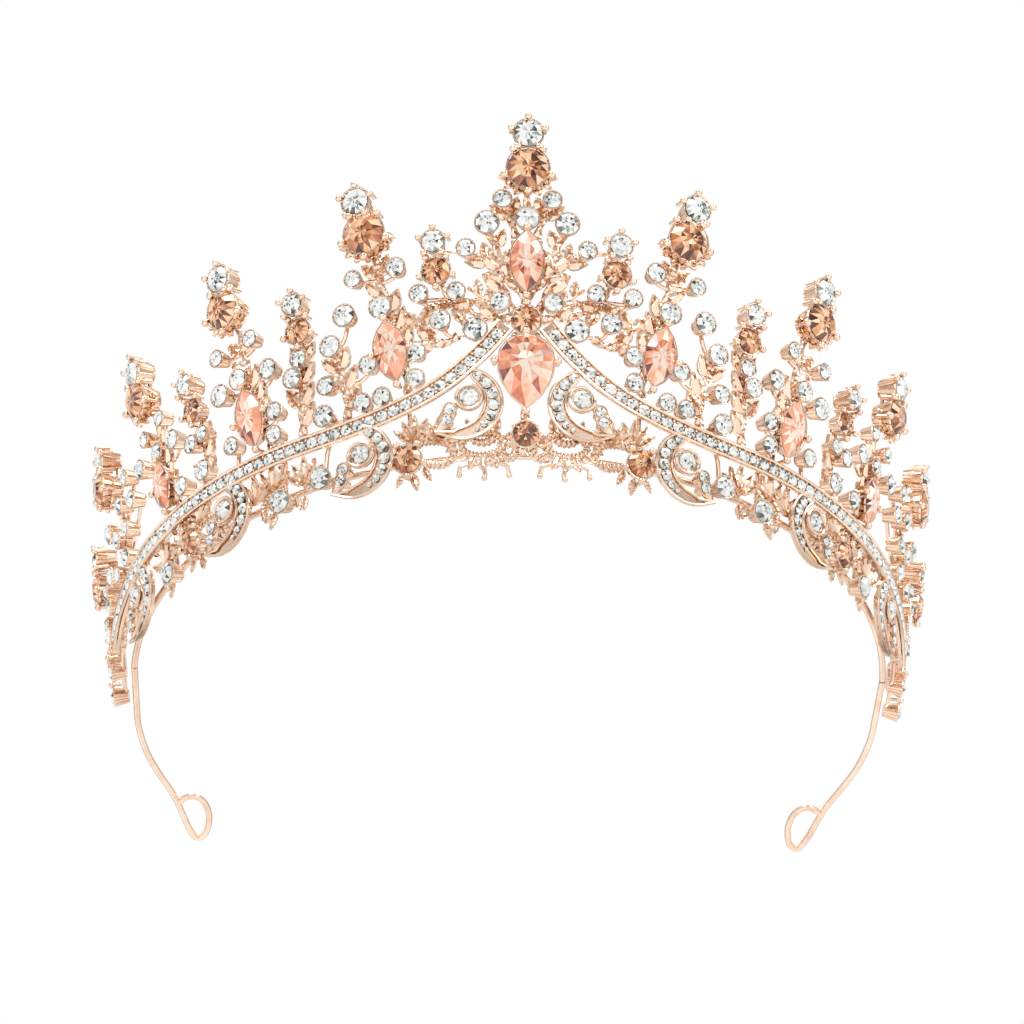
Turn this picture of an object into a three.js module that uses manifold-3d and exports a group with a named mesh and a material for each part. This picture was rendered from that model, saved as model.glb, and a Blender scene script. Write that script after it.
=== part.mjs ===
// Bridal tiara: a soldered metal comb on a headband, set with clear, amber and peach stones.
// Millimetres, +Z up, the front towards -Y. Right, as seen from the front, is towards +X.
// The band is level.
//
// The comb is laid out flat, as a jeweller draws it: u runs outwards from the middle along the band,
// v runs up the comb from the band, and w stands off its face. The drawing is then bent round the head.
import * as THREE from 'three';
import { mergeVertices } from 'three/addons/utils/BufferGeometryUtils.js';
import Module from 'manifold-3d';

const wasm = await Module();
wasm.setup();

// ---- driving dimensions -------------------------------------------------------------------------
const BAND_RADIUS = 74.5; // bend radius of the comb at band height
const FORWARD_LEAN = 0.25; // forward travel of the comb for each mm of rise, all round
const SIDE_FLARE = 0.12; // outward travel of the comb for each mm of rise
const STONE_GAP = 0.3; // clearance round a stone in its seat
const PIECE_GAP = 0.4; // clearance between two soldered pieces

const PLATE_BACK = -0.6; // w of the castings' rear face
const LEAF_FRONT = 0.5; // w of a leaf's face
const LEAF_SPACING = 12;
const LEAF_SLIMNESS = 0.45;
const CENTRE_LEAF = 4.6; // length of the middle motif's leaves
const LEAF_ANGLE = 0.85; // between a leaf and its stem, radians
const STEM_RADIUS = 0.7;
const TWIG_RADIUS = 0.5;
const TWIG_DROP = 0.4; // how much lower than its cup a twig starts, for each mm sideways
const CUP_WALL = 0.45;
const CUP_FOOT = 0.6; // share of a cup's outline left at its foot
const RING_WALL = 0.9;
const SMALL_SEAT = 2.2; // w of a small stone's girdle
const LARGE_SEAT = 3.4; // w of a large stone's girdle
const OPEN_FRONT = 8; // how far a seat is cleared in front of its stone

// Cut of the stones, in shares of the stone's radius or half width.
const GIRDLE = 0.1;
const CROWN = 0.34;
const TABLE_SHARE = 0.58;
const ROUND_PAVILION = 0.62;
const POINTED_PAVILION = 0.38;

const WIRE_SIZE = 1.3; // across the flats of the headband wire
const WIRE_HEIGHT = 0.8; // height of the wire's middle above v = 0
const WIRE_RADIUS = BAND_RADIUS - 1.8; // bend radius of the wire, just inside the castings
const JOINT_ANGLE = 1.5; // where the arms are soldered to the front wire, radians from the middle
const ARM_LEAVES_COMB = 1.66; // where an arm leaves the comb, radians from the middle

const RAIL_BACK = 1;
const RAIL_FRONT = 2.3;
const RAIL_FLOOR = 1.6; // w of the bottom of the channel
const RAIL_HALF_WIDTH = 1.45;
const RAIL_GROOVE = 0.9; // half width of the channel

const CRESCENT_RADIUS = 6.6;
const CRESCENT_BACK = 1;
const CRESCENT_FRONT = 2.2;
const CRESCENT_START = 2.42; // radians, where the sickle starts, just under the rail
const CRESCENT_SWEEP = 2.36;
const CRESCENT_MIDDLE = (CRESCENT_BACK + CRESCENT_FRONT) / 2;
const CRESCENT_THIN = 0.7; // width of the sickle at its ends
const CRESCENT_SWELL = 2; // extra width at its middle
const CURL_RADIUS = 0.55;
const CURL_STEP = 3.2;

// How finely each shape is divided.
const BAR_SIDES = 4;
const BAR_STEP = 6;
const WIRE_SIDES = 6;
const WIRE_STEP = 6;
const ARM_STEP = 2.6;
const FINISH = 0.3; // casting detail smaller than this is smoothed away
const SEAT_FINISH = 0.04; // and the same for the seats, which have to fit their stones
const LEAF_STEPS = 2;
const RING_STEPS = 3;
const RAIL_STEP = 5;
const CRESCENT_STEPS = 8;
const ROUND_SIDES = 8;
const POINTED_SIDES = 12;
const SMALL_SIDES = 5;

// ---- the drawing --------------------------------------------------------------------------------
// Small clear stones' cups: [u, v, radius]. Round stones: [name, u, v, radius, seat].
// Pointed stones: [name, u, v, half width, half length, tilt outwards in radians].
const CENTRE_SPINE = [[0, -0.5], [0, 20], [0, 40], [0, 58]];
const CENTRE_STEMS = [
  [[0, 27], [5, 26], [9.6, 27.6], [13.6, 31], [15.5, 35]],
  [[0, 30], [3.6, 34], [7, 37.4], [10.4, 39.4]],
  [[0, 3], [3.4, 1.6], [5, 1.9]],
];
const CENTRE_CUPS = [
  [4.2, 48.8, 1.6], [6.8, 44.2, 2.1], [10.4, 39.4, 1.6], [4.6, 28.6, 1.7],
  [8.8, 23.5, 2.1], [12.1, 31.1, 1.6], [18.6, 31.4, 1.6], [14.9, 25.8, 1.8], [15.8, 40.6, 2.1],
];
const CENTRE_ROUNDS = [
  ['amber_crown', 0, 54.4, 3.8, LARGE_SEAT],
  ['amber_over_pear', 0, 25, 2.6, SMALL_SEAT],
  ['amber_under_pear', 0, 3, 2.6, SMALL_SEAT],
  ['clear_crown_tip', 0, 61.3, 2.6, LARGE_SEAT],
];
const CENTRE_SIDE_ROUNDS = [['amber_small_a', 15.5, 35.4, 2.5, SMALL_SEAT]];
const CENTRE_MARQUISE = ['marquise_centre', 0, 36.5, 3, 6, 0];
const PEAR = {
  name: 'pear_centre', cut: 'pear', u: 0, v: 17, radius: 5, point: 9, tilt: 0, seat: SMALL_SEAT,
};
const SCROLL = { u: 14.9, v: 25.8, radius: 4.1 };
const OVAL = { u: 7.6, v: 1.9, halfWidth: 4, halfHeight: 2.7 };

const SPRAYS = [
  {
    name: 'spray_1', from: 17.4, to: 38.9, leaf: 5,
    stems: [[[21, 10], [22, 20], [25, 32], [27.6, 44]], [[33, 7.8], [33, 16], [34.9, 24]]],
    cups: [
      [22.6, 37.3, 1.7], [30.3, 36.7, 1.5], [25.4, 30, 2], [32.1, 30, 2], [34.9, 24.7, 1.9],
      [27.9, 19.3, 1.6], [19.2, 20.2, 1.7], [19.4, 15.1, 1.6], [25.5, 12.6, 1.6], [29.2, 12.3, 1.6],
      [36, 17.3, 1.6], [36.6, 11.6, 1.9], [37.7, -0.1, 2],
    ],
    rounds: [
      ['amber_large_1', 27.6, 44.5, 3.8, LARGE_SEAT],
      ['clear_tip_1', 29, 51.3, 2.5, LARGE_SEAT],
      ['amber_low_1', 21, -0.4, 2.6, SMALL_SEAT],
    ],
    marquise: ['marquise_1', 23.7, 21, 3, 6, 0.18],
  },
  {
    name: 'spray_2', from: 39.3, to: 61.6, leaf: 4.8,
    stems: [[[48, 7.3], [50.5, 16], [53.6, 28], [55.8, 39]], [[42, 7.3], [42, 16], [41, 28]]],
    cups: [
      [41.4, 34.8, 2], [41.2, 24.4, 1.6], [42.6, 21, 1.8], [51.2, 32.3, 1.5], [59, 31.9, 1.5],
      [54.2, 25.5, 1.9], [47.6, 24.8, 1.8], [58.7, 24.3, 2], [46.7, 16.1, 1.6],
      [46.9, 11.6, 1.6], [56.6, 13.4, 1.6], [46.3, -1.7, 2.1],
    ],
    rounds: [
      ['amber_large_2', 55.8, 39.8, 3.6, LARGE_SEAT],
      ['clear_tip_2', 56.5, 46.4, 2.5, LARGE_SEAT],
      ['amber_small_b', 41, 29.7, 2.4, SMALL_SEAT],
    ],
    marquise: ['marquise_2', 52, 16.8, 3, 6, 0.22],
  },
  {
    name: 'spray_3', from: 62, to: 86.2, leaf: 4.4,
    stems: [[[73, 7.3], [75.6, 15], [78.4, 26], [81, 35]], [[66, 7.3], [65, 15], [65.9, 25]]],
    cups: [
      [66.4, 30.2, 1.9], [67, 18.8, 1.6], [63.8, 19.4, 1.4], [64.2, 12.2, 1.8], [75.9, 29.1, 1.4],
      [81.5, 28, 1.4], [77.4, 23, 1.6], [72.2, 22.6, 1.8], [84, 23.4, 1.8], [70.4, 12.2, 1.7],
      [76.4, -1.8, 2],
    ],
    rounds: [
      ['amber_large_3', 81, 35.5, 3.3, LARGE_SEAT],
      ['amber_small_c', 65.9, 25, 2.2, SMALL_SEAT],
      ['amber_low_2', 68.6, 0.2, 2.4, SMALL_SEAT],
    ],
    marquise: ['marquise_3', 76.4, 15.6, 2.5, 5, 0.2],
  },
  {
    name: 'spray_4', from: 86.6, to: 124, leaf: 4,
    stems: [[[95, 6], [97, 14], [100, 23], [102, 30]], [[111, 4], [113, 9], [116, 15], [117.4, 20]]],
    cups: [
      [101, 36.2, 2], [116, 25.8, 2], [88.8, 20.3, 1.6], [91.2, 26.3, 1.5], [95, 23, 1.6],
      [92.6, 16.6, 1.5], [97.6, 17.6, 1.7], [103.6, 22.6, 1.7], [93.4, 11.4, 1.7], [105, 14.6, 1.7],
      [99.4, 11.4, 1.5], [109.4, 11.4, 1.6], [112.6, 16.2, 1.6], [114, 8.2, 1.5], [118.4, 13.2, 1.6],
      [118.4, 3.4, 1.5], [123.4, 1.4, 1.6],
    ],
    rounds: [
      ['amber_large_4', 102, 30.9, 3, LARGE_SEAT],
      ['amber_large_5', 117.4, 20.2, 2.8, LARGE_SEAT],
    ],
    marquise: ['marquise_4', 122.6, 8.2, 2, 4, 0],
  },
];

// Middle line of the pave rail, and the middles of the sickle scrolls.
const RAIL_LINE = [
  [6.9, 20.1], [9.6, 17.4], [13, 14.5], [17, 12], [21, 10.3], [26, 8.8], [32, 7.8], [40, 7.3],
  [60, 7.4], [76, 7.3], [90, 6.6], [102, 5], [110, 3.8],
];
const CRESCENT_CURL = [
  [0.2, -6.1], [2.9, -5.8], [3.4, -4.2], [3, -2.6], [2.4, -0.6], [0.9, 0.9], [-0.9, 1.1],
];
const CRESCENT_CUPS = [[-0.9, 1.1, 1.9], [2.5, -0.5, 1.1], [3, -2.7, 1.1]]; // from the scroll's middle
const CRESCENTS = [['a', 10.8, 9.2], ['b', 30.6, 1.2], ['c', 60.1, 0.8], ['d', 90.2, 0.1]];

// Right arm of the headband, from the comb's end round its loop: [x, y] with the band's centre at 0, 0.
const ARM_ROUTE = [
  [72.2, 15], [70.8, 24], [68.5, 31.5], [65.9, 38.5], [64.4, 44], [63, 50], [61.3, 54.4], [59.4, 52.6],
  [58.6, 47], [59.4, 42], [61.2, 39.6], [62.9, 39.8], [64.1, 41],
];

// ---- finishes -----------------------------------------------------------------------------------
const roseGold = new THREE.MeshStandardMaterial({ color: 0xe3b08f, roughness: 0.22, metalness: 1 });
const clearStone = new THREE.MeshStandardMaterial({ color: 0xe8eeea, roughness: 0.05, metalness: 0.1 });
const amberStone = new THREE.MeshStandardMaterial({ color: 0xc9853f, roughness: 0.05, metalness: 0.1 });
const peachStone = new THREE.MeshStandardMaterial({ color: 0xeeb09c, roughness: 0.05, metalness: 0.1 });

// ---- the bent surface ---------------------------------------------------------------------------
function surfaceFrame(u, v) {
  const angle = u / BAND_RADIUS;
  const foot = new THREE.Vector3(BAND_RADIUS * Math.sin(angle), -BAND_RADIUS * Math.cos(angle), 0);
  const lean = FORWARD_LEAN + SIDE_FLARE * Math.cos(angle);
  const up = new THREE.Vector3(SIDE_FLARE * Math.sin(angle), -lean, 1).normalize();
  const out = new THREE.Vector3(Math.sin(angle), -Math.cos(angle), 0);
  out.addScaledVector(up, -out.dot(up)).normalize();
  const along = new THREE.Vector3().crossVectors(up, out);
  return { at: foot.addScaledVector(up, v), along, up, out };
}

// ---- solids in the flat drawing -----------------------------------------------------------------
function toSolid(geometry) {
  geometry.deleteAttribute('normal');
  geometry.deleteAttribute('uv');
  const merged = mergeVertices(geometry, 1e-4);
  const corners = [];
  for (let i = 0; i < merged.index.count; i += 3) {
    const [a, b, c] = [0, 1, 2].map((k) => merged.index.getX(i + k));
    if (a !== b && b !== c && a !== c) corners.push(a, b, c);
  }
  return new wasm.Manifold(new wasm.Mesh({
    numProp: 3,
    vertProperties: merged.attributes.position.array,
    triVerts: new Uint32Array(corners),
  }));
}

function join(solids) {
  return solids.reduce((whole, solid) => whole.add(solid));
}

function plate(shape, back, front, curveSegments) {
  const options = { depth: front - back, bevelEnabled: false, curveSegments };
  return toSolid(new THREE.ExtrudeGeometry(shape, options).translate(0, 0, back));
}

function regularSection(radius, sides) {
  const turn = Math.PI / sides;
  const corners = Array.from({ length: sides }, (_, i) => turn + (i * 2 * Math.PI) / sides);
  return new THREE.Shape(corners.map((a) => new THREE.Vector2(radius * Math.cos(a), radius * Math.sin(a))));
}

function sweep(points, section, stepLength) {
  const path = new THREE.CatmullRomCurve3(points.map(([x, y, z = 0]) => new THREE.Vector3(x, y, z)));
  const steps = Math.ceil(path.getLength() / stepLength);
  return new THREE.ExtrudeGeometry(section, { extrudePath: path, steps });
}

const bar = (points, radius) => toSolid(sweep(points, regularSection(radius, BAR_SIDES), BAR_STEP));

// A pointed leaf with its stalk end at (u, v), lying along the given direction.
function leaf(u, v, direction, length, width) {
  const shape = new THREE.Shape();
  const rotate = (x, y) => [
    u + x * Math.cos(direction) - y * Math.sin(direction),
    v + x * Math.sin(direction) + y * Math.cos(direction),
  ];
  shape.moveTo(...rotate(0, 0));
  shape.quadraticCurveTo(...rotate(length * 0.45, -width), ...rotate(length, 0));
  shape.quadraticCurveTo(...rotate(length * 0.45, width), ...rotate(0, 0));
  return plate(shape, PLATE_BACK, LEAF_FRONT, LEAF_STEPS);
}

// Radius of a two-arc pointed outline at an angle from its width axis.
function lensRadius(halfWidth, halfLength, angle) {
  const arc = (halfLength ** 2 + halfWidth ** 2) / (2 * halfWidth);
  const shift = arc - halfWidth;
  return Math.sqrt(arc ** 2 - (shift * Math.sin(angle)) ** 2) - shift * Math.abs(Math.cos(angle));
}

const OUTLINES = {
  round: (stone) => () => stone.radius,
  marquise: (stone) => (angle) => lensRadius(stone.radius, stone.point, angle),
  pear: (stone) => (angle) => (
    Math.sin(angle) > 0 ? stone.radius : lensRadius(stone.radius, stone.point, angle)),
};

// Turns [share of radius, w] points about the w axis, lowest first, out to the given outline.
function turned(profile, radiusAt, sides, extra = 0) {
  const points = profile.map(([share, w]) => new THREE.Vector2(share, w));
  const geometry = new THREE.LatheGeometry(points, sides).rotateX(Math.PI / 2);
  const position = geometry.attributes.position;
  for (let i = 0; i < position.count; i += 1) {
    const [x, y] = [position.getX(i), position.getY(i)];
    const share = Math.hypot(x, y);
    const stretch = radiusAt(Math.atan2(y, x)) + (share > 1e-6 ? extra / share : 0);
    position.setXY(i, x * stretch, y * stretch);
  }
  return geometry;
}

const sidesOf = (stone) => (stone.cut === 'round' ? ROUND_SIDES : POINTED_SIDES);
const pavilionOf = (stone) => stone.radius * (stone.cut === 'round' ? ROUND_PAVILION : POINTED_PAVILION);

function stoneGeometry(stone) {
  const girdle = GIRDLE * stone.radius;
  const table = CROWN * stone.radius;
  const profile = [[0, -pavilionOf(stone)], [1, 0], [1, girdle], [TABLE_SHARE, table], [0, table]];
  return turned(profile, OUTLINES[stone.cut](stone), sidesOf(stone));
}

// The cup of metal round a stone, in the stone's own frame.
function settingGeometry(stone) {
  const rim = GIRDLE * stone.radius;
  const back = PLATE_BACK - stone.seat;
  const profile = [[0, back], [CUP_FOOT, back], [1, rim], [0, rim]];
  return turned(profile, OUTLINES[stone.cut](stone), sidesOf(stone), STONE_GAP + CUP_WALL);
}

// The space a stone needs: its own shape grown by the gap, open towards the front.
function seatGeometry(stone) {
  const profile = [[0, -pavilionOf(stone) - STONE_GAP], [1, 0], [1, OPEN_FRONT], [0, OPEN_FRONT]];
  return turned(profile, OUTLINES[stone.cut](stone), sidesOf(stone), STONE_GAP);
}

function smallCup([u, v, radius], back = PLATE_BACK, seat = SMALL_SEAT) {
  const profile = [[0, back], [0.7, back], [1.12, seat], [0, seat]];
  return toSolid(turned(profile, () => radius, SMALL_SIDES).translate(u, v, 0));
}

// ---- castings -----------------------------------------------------------------------------------
// The twig that carries a cup leaves the nearest stem lower down, as a shoot does.
function twigsTo(cups, stems) {
  const samples = stems.flatMap((stem) => stem.getSpacedPoints(30));
  return cups.flatMap(([u, v]) => {
    const distance = (p) => Math.hypot(p.x - u, p.y - v + TWIG_DROP * Math.abs(p.x - u));
    const root = samples.reduce((best, p) => (distance(p) < distance(best) ? p : best));
    return distance(root) > TWIG_RADIUS ? [bar([[root.x, root.y], [u, v]], TWIG_RADIUS)] : [];
  });
}

function leafPairs(stem, length, width) {
  const count = Math.floor(stem.getLength() / LEAF_SPACING);
  return Array.from({ length: count }, (_, i) => (i + 0.5) / count).flatMap((t) => {
    const root = stem.getPointAt(t);
    const way = stem.getTangentAt(t);
    const heading = Math.atan2(way.y, way.x);
    return [-1, 1].map((hand) => leaf(root.x, root.y, heading + hand * LEAF_ANGLE, length, width));
  });
}

const curveOf = (points) => new THREE.CatmullRomCurve3(points.map(([u, v]) => new THREE.Vector3(u, v, 0)));

// The stretch of the rail's line between two values of u.
function railPoints(from, to) {
  const rail = curveOf(RAIL_LINE).getSpacedPoints(60).filter((p) => p.x > from && p.x < to);
  const between = rail.filter((_, i) => i % 3 === 1).map((p) => [p.x, p.y]);
  return [[from, rail[0].y], ...between, [to, rail.at(-1).y]];
}

function sprayCasting(spray) {
  const ground = railPoints(spray.from + STEM_RADIUS, spray.to - STEM_RADIUS);
  const stems = spray.stems.map(curveOf);
  const held = [...spray.cups, ...spray.stones.map((stone) => [stone.u, stone.v])];
  return join([
    bar(ground, STEM_RADIUS),
    ...spray.stems.map((points) => bar(points, STEM_RADIUS)),
    ...twigsTo(held, [...stems, curveOf(ground)]),
    ...spray.cups.map((cup) => smallCup(cup)),
    ...stems.flatMap((stem) => leafPairs(stem, spray.leaf, spray.leaf * LEAF_SLIMNESS)),
  ]);
}

function ovalRing(u, v, halfWidth, halfHeight) {
  const shape = new THREE.Shape();
  shape.absellipse(u, v, halfWidth, halfHeight, 0, 2 * Math.PI);
  const hole = new THREE.Path();
  hole.absellipse(u, v, halfWidth - RING_WALL, halfHeight - RING_WALL, 0, 2 * Math.PI);
  shape.holes.push(hole);
  return plate(shape, PLATE_BACK, LEAF_FRONT, RING_STEPS);
}

// One side of the middle motif; the other side is its mirror.
function centreHalf(hand) {
  const turn = ([u, ...rest]) => [hand * u, ...rest];
  const cups = CENTRE_CUPS.map(turn);
  const stems = CENTRE_STEMS.map((stem) => stem.map(turn));
  return [
    ...stems.map((points) => bar(points, STEM_RADIUS)),
    ...cups.map((cup) => smallCup(cup)),
    ...twigsTo(cups, [...stems, CENTRE_SPINE].map(curveOf)),
    ...stems.map(curveOf).flatMap((stem) => leafPairs(stem, CENTRE_LEAF, CENTRE_LEAF * LEAF_SLIMNESS)),
    ovalRing(hand * SCROLL.u, SCROLL.v, SCROLL.radius, SCROLL.radius),
    ovalRing(hand * OVAL.u, OVAL.v, OVAL.halfWidth, OVAL.halfHeight),
  ];
}

function centreCasting() {
  return join([
    bar(CENTRE_SPINE, STEM_RADIUS),
    ...centreHalf(1),
    ...centreHalf(-1),
    ...[-1, 1].map((hand) => leaf(hand * 0.8, 1.6, -Math.PI / 2 + hand * 0.45, 6.4, 1.4)),
  ]);
}

// Sickle-shaped pave plate with a tapering tail that curls round to two small cups.
function crescentCasting(u, v) {
  const turns = Array.from({ length: CRESCENT_STEPS + 1 }, (_, i) => i / CRESCENT_STEPS);
  const angleAt = (t) => CRESCENT_START + t * CRESCENT_SWEEP;
  const widthAt = (t) => CRESCENT_THIN + CRESCENT_SWELL * Math.sqrt(Math.sin(Math.PI * t));
  const edge = (t, radius) => (
    new THREE.Vector2(u + radius * Math.cos(angleAt(t)), v + radius * Math.sin(angleAt(t))));
  const outer = turns.map((t) => edge(t, CRESCENT_RADIUS));
  const inner = turns.map((t) => edge(t, CRESCENT_RADIUS - widthAt(t)));
  const sickle = plate(new THREE.Shape([...outer, ...inner.reverse()]), CRESCENT_BACK, CRESCENT_FRONT);
  const curl = CRESCENT_CURL.map(([du, dv]) => [u + du, v + dv, CRESCENT_MIDDLE]);
  const cup = ([du, dv, radius]) => smallCup([u + du, v + dv, radius], CRESCENT_BACK, CRESCENT_FRONT);
  const tail = toSolid(sweep(curl, regularSection(CURL_RADIUS, BAR_SIDES), CURL_STEP));
  return join([sickle, tail, ...CRESCENT_CUPS.map(cup)]);
}

// Channel that holds the pave row: a floor between two raised edges.
function railGeometry() {
  const half = RAIL_HALF_WIDTH;
  const section = new THREE.Shape([
    [RAIL_BACK, -half], [RAIL_FRONT, -half], [RAIL_FRONT, -RAIL_GROOVE], [RAIL_FLOOR, -RAIL_GROOVE],
    [RAIL_FLOOR, RAIL_GROOVE], [RAIL_FRONT, RAIL_GROOVE], [RAIL_FRONT, half], [RAIL_BACK, half],
  ].map(([w, across]) => new THREE.Vector2(-w, across)));
  return sweep(RAIL_LINE, section, RAIL_STEP);
}

// ---- sub-parts ----------------------------------------------------------------------------------
const tiara = new THREE.Group();

function addMesh(name, geometry, material) {
  const mesh = new THREE.Mesh(geometry, material);
  mesh.name = name;
  tiara.add(mesh);
  return mesh;
}

// Wraps a flat solid round the head; hand -1 mirrors it to the other side.
function wrapped(solid, hand) {
  const mesh = solid.getMesh();
  const points = [];
  for (let i = 0; i < mesh.vertProperties.length; i += 3) {
    const [u, v, w] = mesh.vertProperties.subarray(i, i + 3);
    const frame = surfaceFrame(hand * u, v);
    points.push(...frame.at.addScaledVector(frame.out, w));
  }
  const geometry = new THREE.BufferGeometry();
  geometry.setAttribute('position', new THREE.Float32BufferAttribute(points, 3));
  const corners = Array.from(mesh.triVerts);
  geometry.setIndex(hand < 0 ? corners.reverse() : corners);
  return geometry;
}

// Where a stone, its cup and its seat stand on the bent comb.
function standing(stone, hand) {
  const frame = surfaceFrame(hand * stone.u, stone.v);
  const turn = new THREE.Matrix4().makeRotationZ(-hand * stone.tilt);
  return new THREE.Matrix4().makeBasis(frame.along, frame.up, frame.out)
    .setPosition(frame.at.addScaledVector(frame.out, stone.seat)).multiply(turn);
}

// A casting on the bent comb: its cups are joined on and its seats cut, and the slivers that two
// close seats leave between them are filed away.
function setCasting(flat, stones, hand) {
  const stood = (makeGeometry) => stones.map(
    (stone) => toSolid(makeGeometry(stone).applyMatrix4(standing(stone, hand))),
  );
  const metal = join([toSolid(wrapped(flat, hand)).simplify(FINISH), ...stood(settingGeometry)]);
  const bodies = metal.subtract(join(stood(seatGeometry))).decompose();
  const body = bodies.reduce((largest, other) => (other.volume() > largest.volume() ? other : largest));
  return fromSolid(body.simplify(SEAT_FINISH));
}

function fromSolid(solid) {
  const mesh = solid.getMesh();
  const geometry = new THREE.BufferGeometry();
  geometry.setAttribute('position', new THREE.BufferAttribute(mesh.vertProperties, 3));
  geometry.setIndex(new THREE.BufferAttribute(mesh.triVerts, 1));
  geometry.computeVertexNormals();
  return geometry;
}

function addStone(name, stone, hand) {
  const mesh = addMesh(name, stoneGeometry(stone), finishOf(stone));
  standing(stone, hand).decompose(mesh.position, mesh.quaternion, mesh.scale);
}

const finishOf = (stone) => {
  if (stone.cut !== 'round') return peachStone;
  return stone.name.startsWith('amber') ? amberStone : clearStone;
};
const round = ([name, u, v, radius, seat]) => ({ name, cut: 'round', u, v, radius, seat, tilt: 0 });
const marquise = ([name, u, v, radius, point, tilt]) => (
  { name, cut: 'marquise', u, v, radius, point, tilt, seat: SMALL_SEAT });

const centreStones = [...CENTRE_ROUNDS.map(round), marquise(CENTRE_MARQUISE), PEAR];
const sideStones = CENTRE_SIDE_ROUNDS.map(round);
const mirroredStones = sideStones.map((stone) => ({ ...stone, u: -stone.u }));
const centreSeats = [...centreStones, ...sideStones, ...mirroredStones];
addMesh('centre_casting', setCasting(centreCasting(), centreSeats, 1), roseGold);
centreStones.forEach((stone) => addStone(stone.name, stone, 1));

const rail = toSolid(railGeometry());
const crescents = CRESCENTS.map(([letter, u, v]) => [letter, crescentCasting(u, v)]);
const sprays = SPRAYS.map((spray) => {
  const stones = [...spray.rounds.map(round), marquise(spray.marquise)];
  return { name: spray.name, stones, flat: sprayCasting({ ...spray, stones }) };
});

for (const [side, hand] of [['right', 1], ['left', -1]]) {
  addMesh(`pave_rail_${side}`, wrapped(rail, hand), roseGold);
  crescents.forEach(([letter, flat]) => {
    addMesh(`crescent_${letter}_${side}`, wrapped(flat, hand), roseGold);
  });
  sideStones.forEach((stone) => addStone(`${stone.name}_${side}`, stone, hand));
  sprays.forEach(({ name, stones, flat }) => {
    addMesh(`${name}_${side}`, setCasting(flat, stones, hand), roseGold);
    stones.forEach((stone) => addStone(`${stone.name}_${side}`, stone, hand));
  });
}

// The headband: a front wire soldered behind the comb, and two arms that each end in a closed loop.
const wireSection = regularSection(WIRE_SIZE / 2 / Math.cos(Math.PI / WIRE_SIDES), WIRE_SIDES);
const onBand = (angle) => [WIRE_RADIUS * Math.sin(angle), -WIRE_RADIUS * Math.cos(angle), WIRE_HEIGHT];
const frontPoints = Array.from({ length: 25 }, (_, i) => onBand(JOINT_ANGLE * (i / 12 - 1)));
addMesh('headband_front', sweep(frontPoints, wireSection, WIRE_STEP), roseGold);

const armStart = [JOINT_ANGLE + PIECE_GAP / WIRE_RADIUS, ARM_LEAVES_COMB].map(onBand);
for (const [side, hand] of [['right', 1], ['left', -1]]) {
  const route = [...armStart, ...ARM_ROUTE].map(([x, y]) => [hand * x, y, WIRE_HEIGHT]);
  addMesh(`headband_arm_${side}`, sweep(route, wireSection, ARM_STEP), roseGold);
}

// Stand it on its lowest point, with the origin under the middle of its outline.
const extent = new THREE.Box3().setFromObject(tiara, true);
tiara.position.set(0, -(extent.min.y + extent.max.y) / 2, -extent.min.z);

export default tiara;
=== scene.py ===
"""A bridal tiara: rose-gold castings, pave rails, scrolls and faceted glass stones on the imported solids."""

import logging
import math
from collections.abc import Callable, Iterator, Sequence
from contextlib import contextmanager
from dataclasses import dataclass, field
from enum import Enum

import bmesh
import bpy
import numpy as np
from mathutils import Matrix, Vector


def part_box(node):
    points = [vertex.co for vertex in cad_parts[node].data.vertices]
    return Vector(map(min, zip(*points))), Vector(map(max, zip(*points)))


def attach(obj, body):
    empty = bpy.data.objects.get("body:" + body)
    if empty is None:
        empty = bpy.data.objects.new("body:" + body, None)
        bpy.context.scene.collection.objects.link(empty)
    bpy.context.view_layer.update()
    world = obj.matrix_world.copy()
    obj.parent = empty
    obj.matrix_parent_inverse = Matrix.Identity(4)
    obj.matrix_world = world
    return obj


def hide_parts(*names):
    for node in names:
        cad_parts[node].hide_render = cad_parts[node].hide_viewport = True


LOG = logging.getLogger("tiara")

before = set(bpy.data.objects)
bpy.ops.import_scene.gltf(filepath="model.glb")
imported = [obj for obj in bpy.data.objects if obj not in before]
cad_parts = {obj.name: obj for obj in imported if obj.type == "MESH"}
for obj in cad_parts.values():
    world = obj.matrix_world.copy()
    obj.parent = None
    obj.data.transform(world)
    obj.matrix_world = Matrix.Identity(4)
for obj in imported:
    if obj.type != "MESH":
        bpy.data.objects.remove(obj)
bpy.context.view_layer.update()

Route = Sequence[Sequence[float]]
MM = 0.001
BODY = "root"


class Side(Enum):
    """The two halves of the tiara, as seen from the front."""

    RIGHT = 1
    LEFT = -1

    @property
    def word(self) -> str:
        """The side's name, as it stands in the nodes' names."""
        return self.name.lower()


class Cut(Enum):
    """How a stone's outline runs."""

    ROUND = "round"
    MARQUISE = "marquise"
    PEAR = "pear"


class Glass(Enum):
    """The colours of the stones, by the record's slot."""

    CLEAR = "clear_stone"
    AMBER = "amber_stone"
    PEACH = "peach_stone"


# ---- the bent drawing -----------------------------------------------------------------------------


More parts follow.
